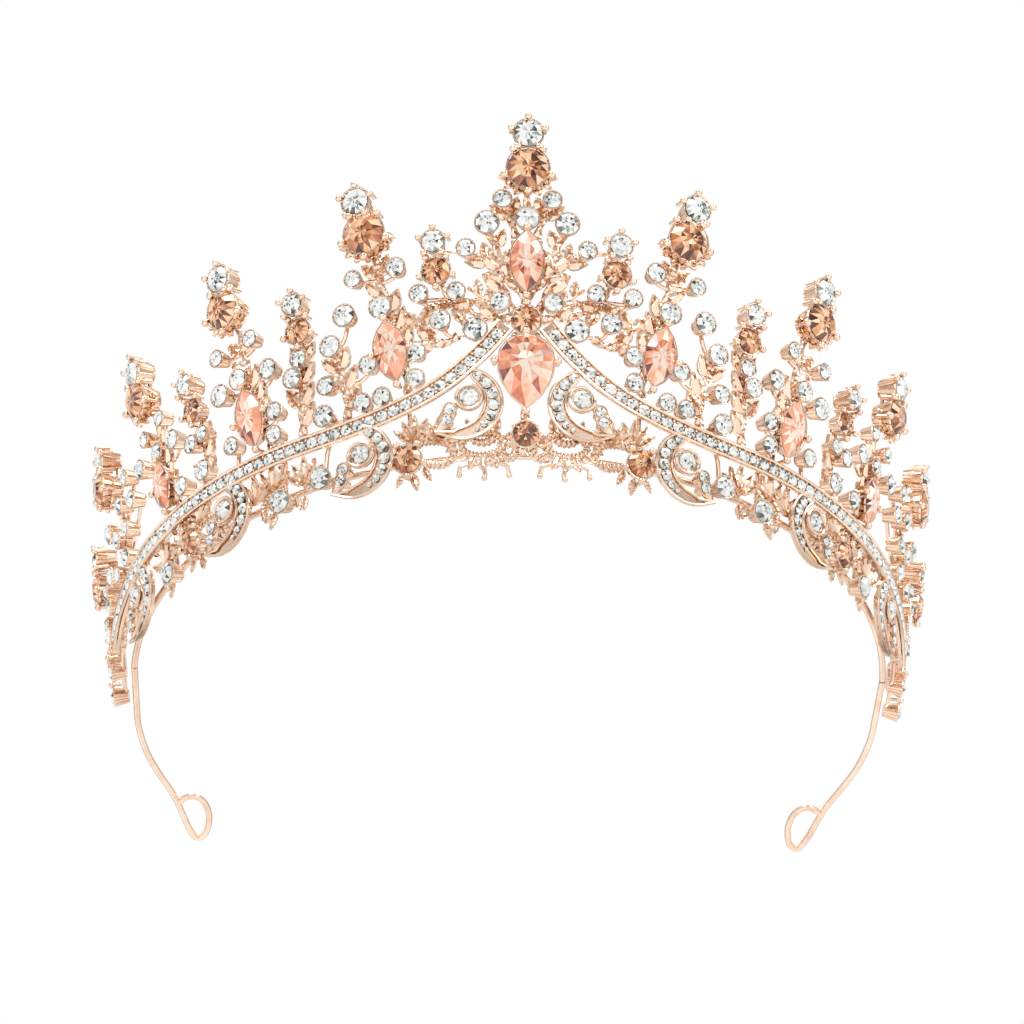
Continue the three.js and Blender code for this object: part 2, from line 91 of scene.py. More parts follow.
@dataclass(frozen=True)
class Bend:
    """The comb's surface: a flat drawing (u along, v up, w out, in mm) bent round the head."""

    radius: float = 74.5
    lean: float = 0.25
    flare: float = 0.12
    band_front: float = 73.39  # how far the headband wire stands ahead of the band's centre
    band_floor: float = 0.15  # height of the wire's underside above v = 0

    def middle(self) -> np.ndarray:
        """The band's centre in the row frame, in mm, from where the headband wire lies."""
        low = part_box("headband_front")[0]
        return np.array([0.0, low[1] / MM + self.band_front, low[2] / MM - self.band_floor])

    def axes(self, u: np.ndarray) -> tuple[np.ndarray, np.ndarray, np.ndarray, np.ndarray]:
        """The surface's foot and its directions.

        Args:
            u: Distances along the band, in mm.

        Returns:
            The foot on the band, and the unit vectors along, up and out, one row for each u.
        """
        sine, cosine = np.sin(u / self.radius), np.cos(u / self.radius)
        flat = np.zeros_like(u)
        radial = np.stack([sine, -cosine, flat], axis=-1)
        up = np.stack([self.flare * sine, -(self.lean + self.flare * cosine), flat + 1], axis=-1)
        up /= np.linalg.norm(up, axis=-1, keepdims=True)
        out = radial - up * np.sum(radial * up, axis=-1, keepdims=True)
        out /= np.linalg.norm(out, axis=-1, keepdims=True)
        return radial * self.radius, np.cross(up, out), up, out

    def wrap(self, points: np.ndarray) -> np.ndarray:
        """Bends flat points.

        Args:
            points: Rows of u, v and w, in mm.

        Returns:
            Rows of x, y and z in the row frame, in metres.
        """
        foot, _, up, out = self.axes(points[:, 0])
        bent = foot + up * points[:, 1:2] + out * points[:, 2:3]
        return (bent + self.middle()) * MM

    def stand(self, u: float, v: float, w: float, tilt: float = 0.0) -> Matrix:
        """Where a rigid piece modelled in mm stands on the comb.

        Args:
            u: Distance along the band.
            v: Height up the comb.
            w: Distance off the comb's face.
            tilt: Turn about the outward axis, in radians.

        Returns:
            The matrix from the piece's own millimetres to the row frame.
        """
        foot, along, up, out = (row[0] for row in self.axes(np.array([float(u)])))
        at = (foot + up * v + out * w + self.middle()) * MM
        turn = Matrix([[*row, 0.0] for row in np.stack([along, up, out], axis=-1)] + [[0, 0, 0, 1]])
        return Matrix.Translation(at) @ turn @ Matrix.Rotation(tilt, 4, "Z") @ Matrix.Scale(MM, 4)


BEND = Bend()


# ---- shader boards --------------------------------------------------------------------------------


class Signal:
    """A node's output, used as a value in an expression."""

    def __init__(self, board: "Board", socket: bpy.types.NodeSocket) -> None:
        """Keeps the socket with the board it is on."""
        self.board = board
        self.socket = socket

    def _with(self, operation: str, first: "Signal | float", second: "Signal | float") -> "Signal":
        """Adds the Math node for one operator."""
        return self.board.node("ShaderNodeMath", {"operation": operation}, {0: first, 1: second})

    def __add__(self, other: "Signal | float") -> "Signal":
        """self + other."""
        return self._with("ADD", self, other)

    def __radd__(self, other: float) -> "Signal":
        """other + self."""
        return self._with("ADD", other, self)

    def __sub__(self, other: "Signal | float") -> "Signal":
        """self - other."""
        return self._with("SUBTRACT", self, other)

    def __rsub__(self, other: float) -> "Signal":
        """other - self."""
        return self._with("SUBTRACT", other, self)

    def __mul__(self, other: "Signal | float") -> "Signal":
        """self * other."""
        return self._with("MULTIPLY", self, other)

    def __rmul__(self, other: float) -> "Signal":
        """other * self."""
        return self._with("MULTIPLY", other, self)


class Board:
    """A material's nodes."""

    def __init__(self, name: str) -> None:
        """Starts a material with an empty node tree and its output."""
        self.material = bpy.data.materials.new(name)
        self.material.use_nodes = True
        self.tree = self.material.node_tree
        self.tree.nodes.clear()
        self.output = self.tree.nodes.new("ShaderNodeOutputMaterial")

    def node(self, kind: str, settings: dict | None = None, inputs: dict | None = None,
             output: int | str = 0) -> Signal:
        """Adds a node.

        Args:
            kind: The node's type.
            settings: Its properties; "stops" fills a colour ramp.
            inputs: Values or signals for its sockets, by name or number.
            output: Which output is wanted.

        Returns:
            The output as a signal.
        """
        made = self.tree.nodes.new(kind)
        for key, value in (settings or {}).items():
            if key == "stops":
                self._fill_ramp(made.color_ramp, value)
            else:
                setattr(made, key, value)
        for key, value in (inputs or {}).items():
            if isinstance(value, Signal):
                self.tree.links.new(value.socket, made.inputs[key])
            else:
                made.inputs[key].default_value = value
        return Signal(self, made.outputs[output])

    @staticmethod
    def _fill_ramp(ramp: bpy.types.ColorRamp, stops: Sequence[tuple[float, Sequence[float]]]) -> None:
        """Sets a ramp's stops, each a position and a colour."""
        while len(ramp.elements) < len(stops):
            ramp.elements.new(1.0)
        for element, (position, colour) in zip(ramp.elements, stops, strict=True):
            element.position = position
            element.color = (*colour, 1.0)

    def place(self) -> Signal:
        """Object coordinates, in metres."""
        return self.node("ShaderNodeTexCoord", output="Object")

    def noise(self, scale: float, detail: float = 2.0) -> Signal:
        """Noise over the object, from 0 to 1."""
        sockets = {"Vector": self.place(), "Scale": scale, "Detail": detail}
        return self.node("ShaderNodeTexNoise", None, sockets, "Fac")

    def finish(self, surface: Signal) -> bpy.types.Material:
        """Links the surface to the output and gives the material back."""
        self.tree.links.new(surface.socket, self.output.inputs["Surface"])
        return self.material


@dataclass(frozen=True)
class RoseGold:
    """Polished rose-gold plating over a cast alloy: thin tone drift, a fine cast grain, worn gloss."""

    name: str = "rose_gold_plating"
    tones: tuple[tuple[float, tuple[float, float, float]], ...] = (
        (0.3, (0.78, 0.55, 0.41)), (0.5, (0.88, 0.67, 0.52)), (0.72, (0.94, 0.77, 0.63)))
    gloss: float = 0.14
    gloss_drift: float = 0.16
    grain_depth: float = 0.00004

    def material(self) -> bpy.types.Material:
        """Builds the plating."""
        board = Board(self.name)
        drift = board.noise(130.0, 3.0)
        colour = board.node("ShaderNodeValToRGB", {"stops": self.tones}, {0: drift})
        roughness = board.noise(700.0) * self.gloss_drift + self.gloss - 0.5 * self.gloss_drift
        grain = board.noise(2600.0, 3.0)
        bump = board.node("ShaderNodeBump", None,
                          {"Strength": 0.2, "Distance": self.grain_depth, "Height": grain})
        return board.finish(board.node("ShaderNodeBsdfPrincipled", None, {
            "Base Color": colour, "Metallic": 1.0, "Roughness": roughness, "Normal": bump}))


@dataclass(frozen=True)
class FoiledGlass:
    """Foil-backed faceted glass, opaque: each facet's tone is a painted reflection, dark to bright, under a hard
    clear gloss.
    """

    name: str
    tones: tuple[tuple[float, tuple[float, float, float]], ...]
    metal: float = 0.35

    def material(self) -> bpy.types.Material:
        """Builds the stone's finish, with its painted facet reflections."""
        board = Board(self.name)
        facet = board.node("ShaderNodeAttribute", {"attribute_name": PAINTED_FACET_LIGHT}, output="Fac")
        painted_streak = board.noise(900.0, 1.0)
        # Painted reflections: each facet's tone, streaked by noise, picks its colour from dark to bright on the
        # ramp.
        tone = facet + (painted_streak - 0.5) * 0.34
        colour = board.node("ShaderNodeValToRGB", {"stops": self.tones}, {0: tone})
        roughness = board.noise(300.0) * 0.06 + 0.03
        return board.finish(board.node("ShaderNodeBsdfPrincipled", None, {
            "Base Color": colour, "Metallic": self.metal, "Roughness": roughness,
            "Coat Weight": 1.0, "Coat Roughness": 0.02, "IOR": 1.55}))


PAINTED_FACET_LIGHT = "facet"
SHARE = "share"
# Every other facet of a stone is painted lighter: a painted star of reflections.
PAINTED_STAR_SWING = 0.34  # how much lighter every other facet of a stone is
# Each ramp runs from a facet's darkest painted reflection to its brightest painted highlight.
FINISHES = {
    Glass.CLEAR: FoiledGlass("clear_foiled_glass", (
        (0.0, (0.03, 0.04, 0.035)), (0.2, (0.16, 0.19, 0.175)), (0.38, (0.50, 0.56, 0.53)),
        (0.6, (0.82, 0.87, 0.85)), (1.0, (1.0, 1.0, 1.0)))),
    Glass.AMBER: FoiledGlass("amber_foiled_glass", (
        (0.0, (0.06, 0.016, 0.009)), (0.26, (0.19, 0.055, 0.022)), (0.48, (0.47, 0.165, 0.062)),
        (0.72, (0.78, 0.34, 0.145)), (1.0, (1.0, 0.66, 0.42)))),
    Glass.PEACH: FoiledGlass("peach_foiled_glass", (
        (0.0, (0.14, 0.035, 0.035)), (0.14, (0.45, 0.12, 0.08)), (0.34, (0.86, 0.28, 0.14)),
        (0.66, (0.96, 0.46, 0.29)), (0.95, (1.0, 0.84, 0.71)))),
}


# ---- bench tools ----------------------------------------------------------------------------------


def clear_selection() -> None:
    """Deselects everything."""
    for item in list(bpy.context.selected_objects):
        item.select_set(False)


def pick(*items: bpy.types.Object) -> None:
    """Selects just these objects and makes the first one active."""
    clear_selection()
    for item in items:
        item.select_set(True)
    bpy.context.view_layer.objects.active = items[0]


@contextmanager
def edit_mode(piece: bpy.types.Object) -> Iterator[None]:
    """Opens a piece in edit mode for the length of a with block."""
    pick(piece)
    bpy.ops.object.mode_set(mode="EDIT")
    try:
        yield
    finally:
        bpy.ops.object.mode_set(mode="OBJECT")


def select_faces(piece: bpy.types.Object, test: Callable[[bmesh.types.BMFace], bool]) -> None:
    """In edit mode, selects the faces that pass the test and nothing else."""
    bpy.ops.mesh.select_mode(type="FACE")
    shape = bmesh.from_edit_mesh(piece.data)
    for face in shape.faces:
        face.select_set(bool(test(face)))
    bmesh.update_edit_mesh(piece.data)


def select_points(piece: bpy.types.Object, test: Callable[[Vector], bool]) -> None:
    """In edit mode, selects the vertices whose place passes the test and nothing else."""
    bpy.ops.mesh.select_mode(type="VERT")
    shape = bmesh.from_edit_mesh(piece.data)
    for face in shape.faces:
        face.select_set(False)
    for vertex in shape.verts:
        vertex.select_set(bool(test(vertex.co)))
    shape.select_flush(True)
    bmesh.update_edit_mesh(piece.data)


def points_of(piece: bpy.types.Object) -> np.ndarray:
    """A mesh's vertices, one row each."""
    flat = np.empty(len(piece.data.vertices) * 3, dtype=np.float32)
    piece.data.vertices.foreach_get("co", flat)
    return flat.reshape(-1, 3).astype(np.float64)


def put_points(piece: bpy.types.Object, points: np.ndarray) -> None:
    """Moves a mesh's vertices."""
    piece.data.vertices.foreach_set("co", points.astype(np.float32).ravel())
    piece.data.update()


def stamp(pattern: bpy.types.Object, place: Matrix) -> bpy.types.Object:
    """Copies a pattern, mesh and all, and sets the copy's mesh in its place."""
    copy = pattern.copy()
    copy.data = pattern.data.copy()
    copy.data.transform(place)
    bpy.context.collection.objects.link(copy)
    return copy


def join_all(name: str, items: Sequence[bpy.types.Object]) -> bpy.types.Object:
    """Joins loose meshes into one object of the given name."""
    pick(*items)
    if len(items) > 1:
        bpy.ops.object.join()
    whole = bpy.context.view_layer.objects.active
    whole.name = whole.data.name = name
    return whole


def drop(items: Sequence[bpy.types.Object]) -> None:
    """Throws patterns away once their copies are made."""
    for item in items:
        bpy.data.objects.remove(item, do_unlink=True)


def wrap_piece(flat: bpy.types.Object, side: Side) -> bpy.types.Object:
    """Bends a copy of a flat piece round the head; the left one is the mirror image."""
    bent = stamp(flat, Matrix.Identity(4))
    points = points_of(bent)
    points[:, 0] *= side.value
    put_points(bent, BEND.wrap(points))
    if side is Side.LEFT:
        bent.data.flip_normals()
    return bent


def smooth_route(points: Route, step: float) -> np.ndarray:
    """A smooth line through the given points.

    Args:
        points: Corners of the route, each with two or three coordinates.
        step: Distance between the points that come back.

    Returns:
        Evenly spaced rows of three coordinates.
    """
    knots = np.array([[*point, 0.0][:3] for point in points], dtype=np.float64)
    ends = np.vstack([2 * knots[0] - knots[1], knots, 2 * knots[-1] - knots[-2]])
    line = []
    for a, b, c, d in zip(ends, ends[1:], ends[2:], ends[3:], strict=False):
        for t in np.linspace(0, 1, 16, endpoint=False):
            line.append(0.5 * (2 * b + (c - a) * t + (2 * a - 5 * b + 4 * c - d) * t * t
                               + (3 * b - a - 3 * c + d) * t ** 3))
    line.append(knots[-1])
    dense = np.array(line)
    run = np.concatenate([[0.0], np.cumsum(np.linalg.norm(np.diff(dense, axis=0), axis=1))])
    marks = np.linspace(0, run[-1], max(2, round(run[-1] / step) + 1))
    return np.stack([np.interp(marks, run, dense[:, k]) for k in range(3)], axis=-1)


def section(points: Route) -> bpy.types.Object:
    """A closed outline that strands are drawn with."""
    curve = bpy.data.curves.new("section", "CURVE")
    spline = curve.splines.new("POLY")
    spline.points.add(len(points) - 1)
    for dot, (x, y) in zip(spline.points, points, strict=True):
        dot.co = (x, y, 0, 1)
    spline.use_cyclic_u = True
    made = bpy.data.objects.new("section", curve)
    bpy.context.collection.objects.link(made)
    return made


def ring_of(radius: float, sides: int, lobes: int = 0, depth: float = 0.0) -> list[tuple[float, float]]:
    """Corners of a round or lobed outline."""
    turns = [2 * math.pi * i / sides for i in range(sides)]
    reach = [radius * (1 + depth * math.cos(lobes * t)) for t in turns]
    return [(r * math.cos(t), r * math.sin(t)) for r, t in zip(reach, turns, strict=True)]


def draw_strands(routes: Sequence[np.ndarray], outline: Route, twist: float = 0.0,
                 taper: Callable[[float], float] | None = None, closed: bool = False) -> bpy.types.Object:
    """Draws strands of metal along routes.

    Args:
        routes: Rows of points, one array for each strand.
        outline: The strand's cross-section.
        twist: Turn of the section for each mm of route, in radians.
        taper: Share of the section's size at a share of the route's length.
        closed: Whether each strand meets its own start.

    Returns:
        One mesh with all the strands.
    """
    profile = section(outline)
    bpy.ops.curve.primitive_bezier_curve_add()
    strand = bpy.context.object
    curve = strand.data
    curve.splines.clear()
    for route in routes:
        spline = curve.splines.new("POLY")
        spline.points.add(len(route) - 1)
        spline.use_cyclic_u = closed
        gap = float(np.linalg.norm(route[1] - route[0]))
        for i, (dot, place) in enumerate(zip(spline.points, route, strict=True)):
            dot.co = (*place, 1.0)
            dot.tilt = twist * gap * i
            dot.radius = taper(i / (len(route) - 1)) if taper else 1.0
    curve.dimensions = "3D"
    curve.twist_mode = "Z_UP"
    curve.bevel_mode = "OBJECT"
    curve.bevel_object = profile
    curve.use_fill_caps = not closed
    pick(strand)
    bpy.ops.object.convert(target="MESH")
    drop([profile])
    strand = bpy.context.object
    with edit_mode(strand):
        bpy.ops.mesh.select_all(action="SELECT")
        bpy.ops.mesh.normals_make_consistent(inside=False)
    return strand


def dress(piece: bpy.types.Object, material: bpy.types.Material, replaced: Sequence[str],
          smooth: bool) -> None:
    """Gives a finished piece its material and its place in the frame.

    Args:
        piece: The mesh.
        material: What it is made of.
        replaced: The nodes it stands for.
        smooth: Whether its rounded faces are shaded smooth.
    """
    piece.data.materials.clear()
    piece.data.materials.append(material)
    pick(piece)
    if smooth:
        bpy.ops.object.shade_smooth_by_angle(angle=math.radians(38))
    else:
        bpy.ops.object.shade_flat()
    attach(piece, BODY)
    if replaced:
        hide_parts(*replaced)
    LOG.info("%s: %d faces", piece.name, len(piece.data.polygons))


# ---- stones and settings --------------------------------------------------------------------------


@dataclass(frozen=True)
class Stone:
    """One stone: where it sits in the drawing and how it is cut."""

    name: str
    u: float
    v: float
    radius: float
    seat: float = 2.2
    cut: Cut = Cut.ROUND
    point: float = 0.0
    tilt: float = 0.0
    glass: Glass = Glass.CLEAR
    claws: int = 0
    claw_turn: float = 0.5 * math.pi
    # shade is added to the stone's painted facet reflections; below 0 they come out darker.
    shade: float = 0.0

    def place(self, side: Side) -> Matrix:
        """Where the stone's girdle stands on one side of the comb."""
        return BEND.stand(side.value * self.u, self.v, self.seat, -side.value * self.tilt)


def outline_reach(stone: Stone, angle: np.ndarray) -> np.ndarray:
    """How far a stone's outline lies from its middle, at angles from its width axis."""
    if stone.cut is Cut.ROUND:
        return np.full_like(angle, stone.radius)
    arc = (stone.point ** 2 + stone.radius ** 2) / (2 * stone.radius)
    shift = arc - stone.radius
    lens = np.sqrt(arc ** 2 - (shift * np.sin(angle)) ** 2) - shift * np.abs(np.cos(angle))
    if stone.cut is Cut.PEAR:
        return np.where(np.sin(angle) > 0, stone.radius, lens)
    return lens


def fit_outline(piece: bpy.types.Object, stone: Stone, extra: float = 0.0, rise: float = 1.0) -> None:
    """Stretches a pattern of radius 1 out to a stone's outline."""
    points = points_of(piece)
    share = np.hypot(points[:, 0], points[:, 1])
    stretch = outline_reach(stone, np.arctan2(points[:, 1], points[:, 0])) + extra
    points[:, 0] *= stretch
    points[:, 1] *= stretch
    points[:, 2] *= rise
    if stone.cut is not Cut.ROUND:
        points[share < 1e-6, :2] = 0.0
    put_points(piece, points)


@dataclass
class GemCutter:
    """Cuts the patterns of radius 1 that the stones are copied from."""

    girdle: float = 0.12
    crown: float = 0.46
    table: float = 0.62
    heart: float = 0.30
    pavilion: float = 0.6
    patterns: dict[int, bpy.types.Object] = field(default_factory=dict)

    def pattern(self, sides: int, rings: int) -> bpy.types.Object:
        """A round brilliant: girdle, crown facets, table star and pavilion.

        Args:
            sides: Facets round the girdle.
            rings: Rings of facets on the table.

        Returns:
            The pattern, with its girdle at z = 0.
        """
        key = sides * 10 + rings
        if key not in self.patterns:
            self.patterns[key] = self._cut(sides, rings)
        return self.patterns[key]

    def _cut(self, sides: int, rings: int) -> bpy.types.Object:
        """Models one pattern from a disc."""
        clear_selection()
        bpy.ops.mesh.primitive_circle_add(vertices=sides, radius=1.0, fill_type="NGON")
        gem = bpy.context.object
        half_step = math.pi / sides
        levels = [(self.girdle, 1.0, 0.0), (self.crown - self.girdle, self.table, half_step)]
        levels += [(0.0, self.heart / self.table, half_step)] * (rings - 1)
        with edit_mode(gem):
            bpy.ops.mesh.select_all(action="SELECT")
            for rise, share, turn in levels:
                bpy.ops.mesh.extrude_region_move(TRANSFORM_OT_translate={"value": (0, 0, rise)})
                bpy.ops.transform.resize(value=(share, share, 1), center_override=(0, 0, 0))
                if turn:
                    bpy.ops.transform.rotate(value=turn, orient_axis="Z", center_override=(0, 0, 0))
            select_faces(gem, lambda face: len(face.verts) == sides and face.calc_center_median().z > 1e-4)
            bpy.ops.mesh.poke(offset=-0.02)
            bpy.ops.mesh.select_all(action="SELECT")
            bpy.ops.mesh.normals_make_consistent(inside=False)
            select_faces(gem, lambda face: len(face.verts) == sides and face.normal.z < -0.5)
            bpy.ops.mesh.poke(offset=self.pavilion)
            select_faces(gem, lambda face: len(face.verts) == 4 and face.calc_center_median().z > self.girdle)
            bpy.ops.mesh.quads_convert_to_tris(quad_method="SHORTEST_DIAGONAL", ngon_method="BEAUTY")
        layer = gem.data.attributes.new(SHARE, "FLOAT", "FACE")
        layer.data.foreach_set("value", [face.center.xy.length for face in gem.data.polygons])
        return gem

    def cut_stone(self, stone: Stone) -> bpy.types.Object:
        """Copies the right pattern and gives it a stone's outline, girdle at z = 0."""
        if stone.cut is Cut.ROUND:
            sides, rings = (8, 1) if stone.radius < 1.3 else (10, 2) if stone.radius < 2.3 else (14, 2)
        else:
            sides, rings = 16, 2
        gem = stamp(self.pattern(sides, rings), Matrix.Identity(4))
        rise = stone.radius if stone.cut is Cut.ROUND else 0.9 * stone.radius
        fit_outline(gem, stone, rise=rise)
        return gem


def paint_facets(piece: bpy.types.Object, seed: int, contrast: float = 1.0, glow: float = 0.0,
                 shade: float = 0.0, swing: float = PAINTED_STAR_SWING) -> None:
    """Paints a reflection on every facet: a tone from 0, dark, to 1, bright.

    Args:
        piece: A mesh of joined stones.
        seed: Seed of the draw.
        contrast: How far the tones spread.
        glow: How much lighter the facets over the middle are than those at the edge, a painted highlight.
        shade: Added to every tone, making all the painted reflections darker or lighter.
        swing: How much lighter every other facet is, a painted star of reflections.
    """
    draw = np.random.default_rng(seed)
    count = len(piece.data.polygons)
    # The painted reflections: every other facet lighter, random tones, and with glow a painted highlight over the
    # middle.
    star = swing * (np.arange(count) % 2 - 0.5)
    share = np.empty(count, dtype=np.float32)
    piece.data.attributes[SHARE].data.foreach_get("value", share)
    tones = shade + 0.5 + contrast * (draw.beta(1.5, 0.85, count) - 0.5) + star + glow * (0.55 - share)
    layer = piece.data.attributes.new(PAINTED_FACET_LIGHT, "FLOAT", "FACE")
    layer.data.foreach_set("value", tones.astype(np.float32))


@dataclass
class Setter:
    """Makes the cups and claws that hold the stones."""

    plate_back: float = -0.6
    wall: float = 0.42
    claw_radius: float = 0.46
    ball_radius: float = 0.82
    small_patterns: dict[str, bpy.types.Object] = field(default_factory=dict)

    def _cup_pattern(self) -> bpy.types.Object:
        """A cup of radius 1 and height 1, rim at z = 0, narrower at its foot and hollow at its rim."""
        clear_selection()
        bpy.ops.mesh.primitive_cylinder_add(vertices=16, radius=1.0, depth=1.0, location=(0, 0, -0.5))
        cup = bpy.context.object
        bpy.ops.object.transform_apply(location=True, rotation=True, scale=True)
        with edit_mode(cup):
            select_faces(cup, lambda face: face.normal.z < -0.9)
            bpy.ops.transform.resize(value=(0.66, 0.66, 1), center_override=(0, 0, -1))
            select_faces(cup, lambda face: face.normal.z > 0.9)
            bpy.ops.mesh.inset(thickness=0.05, depth=0.0)
            bpy.ops.mesh.inset(thickness=0.07, depth=-0.10)
            select_faces(cup, lambda face: abs(face.normal.z) < 0.6)
            bpy.ops.mesh.inset(thickness=0.05, depth=-0.09, use_individual=True)
        return cup

    def _claw_pattern(self) -> bpy.types.Object:
        """A round post of unit height standing on z = 0, with a waist under its top."""
        clear_selection()
        bpy.ops.mesh.primitive_cylinder_add(vertices=10, radius=self.claw_radius, depth=1.0,
                                            location=(0, 0, 0.5))
        post = bpy.context.object
        bpy.ops.object.transform_apply(location=True, rotation=True, scale=True)
        with edit_mode(post):
            select_faces(post, lambda face: face.normal.z > 0.9)
            bpy.ops.transform.resize(value=(0.8, 0.8, 1), center_override=(0, 0, 1))
        return post

    def _ball_pattern(self) -> bpy.types.Object:
        """A polished ball of radius 1, flattened a little where it grips."""
        clear_selection()
        bpy.ops.mesh.primitive_ico_sphere_add(subdivisions=2, radius=1.0)
        ball = bpy.context.object
        with edit_mode(ball):
            select_points(ball, lambda place: place.z < -0.8)
            bpy.ops.transform.resize(value=(1, 1, 0.9), center_override=(0, 0, 0))
        return ball

    def prepare(self) -> None:
        """Models the patterns."""
        self.small_patterns = {
            "cup": self._cup_pattern(), "claw": self._claw_pattern(), "ball": self._ball_pattern()}

    def ball(self, place: Matrix, radius: float) -> bpy.types.Object:
        """A metal bead of the given radius at a place."""
        return stamp(self.small_patterns["ball"], place @ Matrix.Scale(radius, 4))

    def setting(self, stone: Stone, side: Side) -> list[bpy.types.Object]:
        """The metal that holds one stone on one side.

        Args:
            stone: The stone.
            side: Which half of the tiara.

        Returns:
            The cup, and the claws with their balls where it has any.
        """
        place = stone.place(side)
        rim = 0.1 * stone.radius
        height = stone.seat - self.plate_back + rim
        cup = stamp(self.small_patterns["cup"], Matrix.Identity(4))
        fit_outline(cup, stone, extra=self.wall * (0.75 if stone.radius < 2.3 else 1.0), rise=height)
        cup.data.transform(place @ Matrix.Translation((0, 0, rim)))
        return [cup, *self._claws(stone, side, place, height)]

    def _claws(self, stone: Stone, side: Side, place: Matrix, height: float) -> list[bpy.types.Object]:
        """Posts with ball tips round a stone's cup."""
        made = []
        size = min(1.0, 0.55 + 0.13 * stone.radius)
        foot = 0.5 * height
        for i in range(stone.claws):
            angle = stone.claw_turn + 2 * math.pi * i / stone.claws
            reach = float(outline_reach(stone, np.array([angle]))[0]) + self.wall + 0.35 * size
            x, y = side.value * reach * math.cos(angle), reach * math.sin(angle)
            post = Matrix.Translation((x, y, -foot)) @ Matrix.Diagonal((size, size, foot + 0.5 * size, 1))
            made.append(stamp(self.small_patterns["claw"], place @ post))
            tip = place @ Matrix.Translation((x, y, 0.5 * size))
            made.append(self.ball(tip, self.ball_radius * size))
        return made


CUTTER = GemCutter()
SETTER = Setter()


# ---- foliage --------------------------------------------------------------------------------------


@dataclass
class Leafwork:
    """Models leaves, rope stems and twigs in the flat drawing."""

    columns: int = 8
    rope_radius: float = 0.62
    scroll_radius: float = 0.72
    twig_radius: float = 0.42
    rope_twist: float = 2.6
    rope_step: float = 0.22
    leaf: bpy.types.Object | None = None

    def prepare(self) -> None:
        """Models the leaf pattern: 1 long, pointed, with a raised midrib and slanting veins."""
        clear_selection()
        bpy.ops.mesh.primitive_grid_add(x_subdivisions=self.columns, y_subdivisions=4, size=1.0)
        leaf = bpy.context.object
        with edit_mode(leaf):
            bpy.ops.mesh.select_all(action="SELECT")
            bpy.ops.transform.translate(value=(0.5, 0, 0))
            for i in range(self.columns + 1):
                x = i / self.columns
                width = 0.07 + 0.86 * math.sin(math.pi * x ** 0.8) ** 0.9
                select_points(leaf, lambda place, x=x: abs(place.x - x) < 0.02)
                bpy.ops.transform.resize(value=(1, width, 1), center_override=(x, 0, 0))
                if i % 2:
                    select_points(leaf, lambda place, x=x: abs(place.x - x) < 0.02 and abs(place.y) > 0.02)
                    bpy.ops.transform.translate(value=(0.03, 0, -0.045))
            select_points(leaf, lambda place: abs(place.y) < 0.004)
            bpy.ops.transform.translate(value=(0, 0, 0.08))
        pick(leaf)
        thick = leaf.modifiers.new("body", "SOLIDIFY")
        thick.thickness, thick.offset = 0.15, -1.0
        bpy.ops.object.modifier_apply(modifier=thick.name)
        self.leaf = leaf

    def leaf_at(self, u: float, v: float, heading: float, length: float, width: float = 0.62,
                w: float = 0.35) -> bpy.types.Object:
        """A leaf in the flat drawing.

        Args:
            u: Where its stalk end lies along the band.
            v: Where its stalk end lies up the comb.
            heading: Direction it points in, in radians from u.
            length: Its length.
            width: Its width as a share of its length.
            w: Height of its face.

        Returns:
            The leaf's mesh.
        """
        place = (Matrix.Translation((u, v, w)) @ Matrix.Rotation(heading, 4, "Z")
                 @ Matrix.Rotation(-0.16, 4, "Y") @ Matrix.Diagonal((length, length * width, length, 1)))
        return stamp(self.leaf, place)

    def stalks(self, routes: Sequence[Route]) -> bpy.types.Object:
        """Stems of two wires that wind slowly round each other."""
        lines = [smooth_route(route, 2 * self.rope_step) for route in routes]
        outline = ring_of(self.rope_radius, 12, lobes=2, depth=0.3)
        return draw_strands(lines, outline, twist=0.8, taper=lambda t: 1.15 - 0.3 * t)

    def ropes(self, routes: Sequence[Route]) -> bpy.types.Object:
        """Twisted rope scrolls along the routes."""
        lines = [smooth_route(route, self.rope_step) for route in routes]
        outline = ring_of(self.scroll_radius, 9, lobes=3, depth=0.2)
        return draw_strands(lines, outline, twist=self.rope_twist, taper=lambda t: 1.1 - 0.25 * t)

    def twigs(self, routes: Sequence[Route]) -> bpy.types.Object:
        """Plain round twigs along the routes."""
        lines = [smooth_route(route, 0.8) for route in routes]
        return draw_strands(lines, ring_of(self.twig_radius, 8))

    def leaves_along(self, route: Route, length: float, spacing: float,
                     keep_clear: Sequence[Stone], angle: float = 0.6) -> list[bpy.types.Object]:
        """Pairs of leaves up a stem, left out where a stone sits.

        Args:
            route: The stem.
            length: Length of the largest leaves.
            spacing: Distance between pairs.
            keep_clear: Stones that leaves stay off.
            angle: Between a leaf and the stem, in radians.

        Returns:
            The leaves.
        """
        line = smooth_route(route, spacing)
        made = []
        for i in range(1, len(line) - 1):
            way = line[i + 1] - line[i - 1]
            heading = math.atan2(way[1], way[0])
            size = length * (1.05 - 0.3 * i / len(line))
            for hand in (-1, 1):
                turn = heading + hand * angle
                tip = line[i][:2] + size * np.array([math.cos(turn), math.sin(turn)])
                if all(math.hypot(tip[0] - s.u, tip[1] - s.v) > s.radius + 0.5 for s in keep_clear):
                    made.append(self.leaf_at(line[i][0], line[i][1], turn, size, w=0.5))
        return made

    def collar(self, stone: Stone) -> list[bpy.types.Object]:
        """The ruffle of small leaves under a large stone's cup."""
        turns = [math.radians(d) for d in (-165, -140, -115, -90, -65, -40, -15)]
        reach = 0.62 * stone.radius
        return [self.leaf_at(stone.u + reach * math.cos(t), stone.v + reach * math.sin(t), t,
                             0.72 * stone.radius, 0.8, w=stone.seat - 1.6) for t in turns]

    def palm(self, u: float, v: float) -> list[bpy.types.Object]:
        """A fan of leaves that rises from a low scroll at (u, v)."""
        return [self.leaf_at(u + 0.2 * i, v, math.radians(92 - 27 * i), 4.9 - 0.35 * abs(i), 0.4, w=0.9)
                for i in range(-2, 3)]


LEAFWORK = Leafwork()


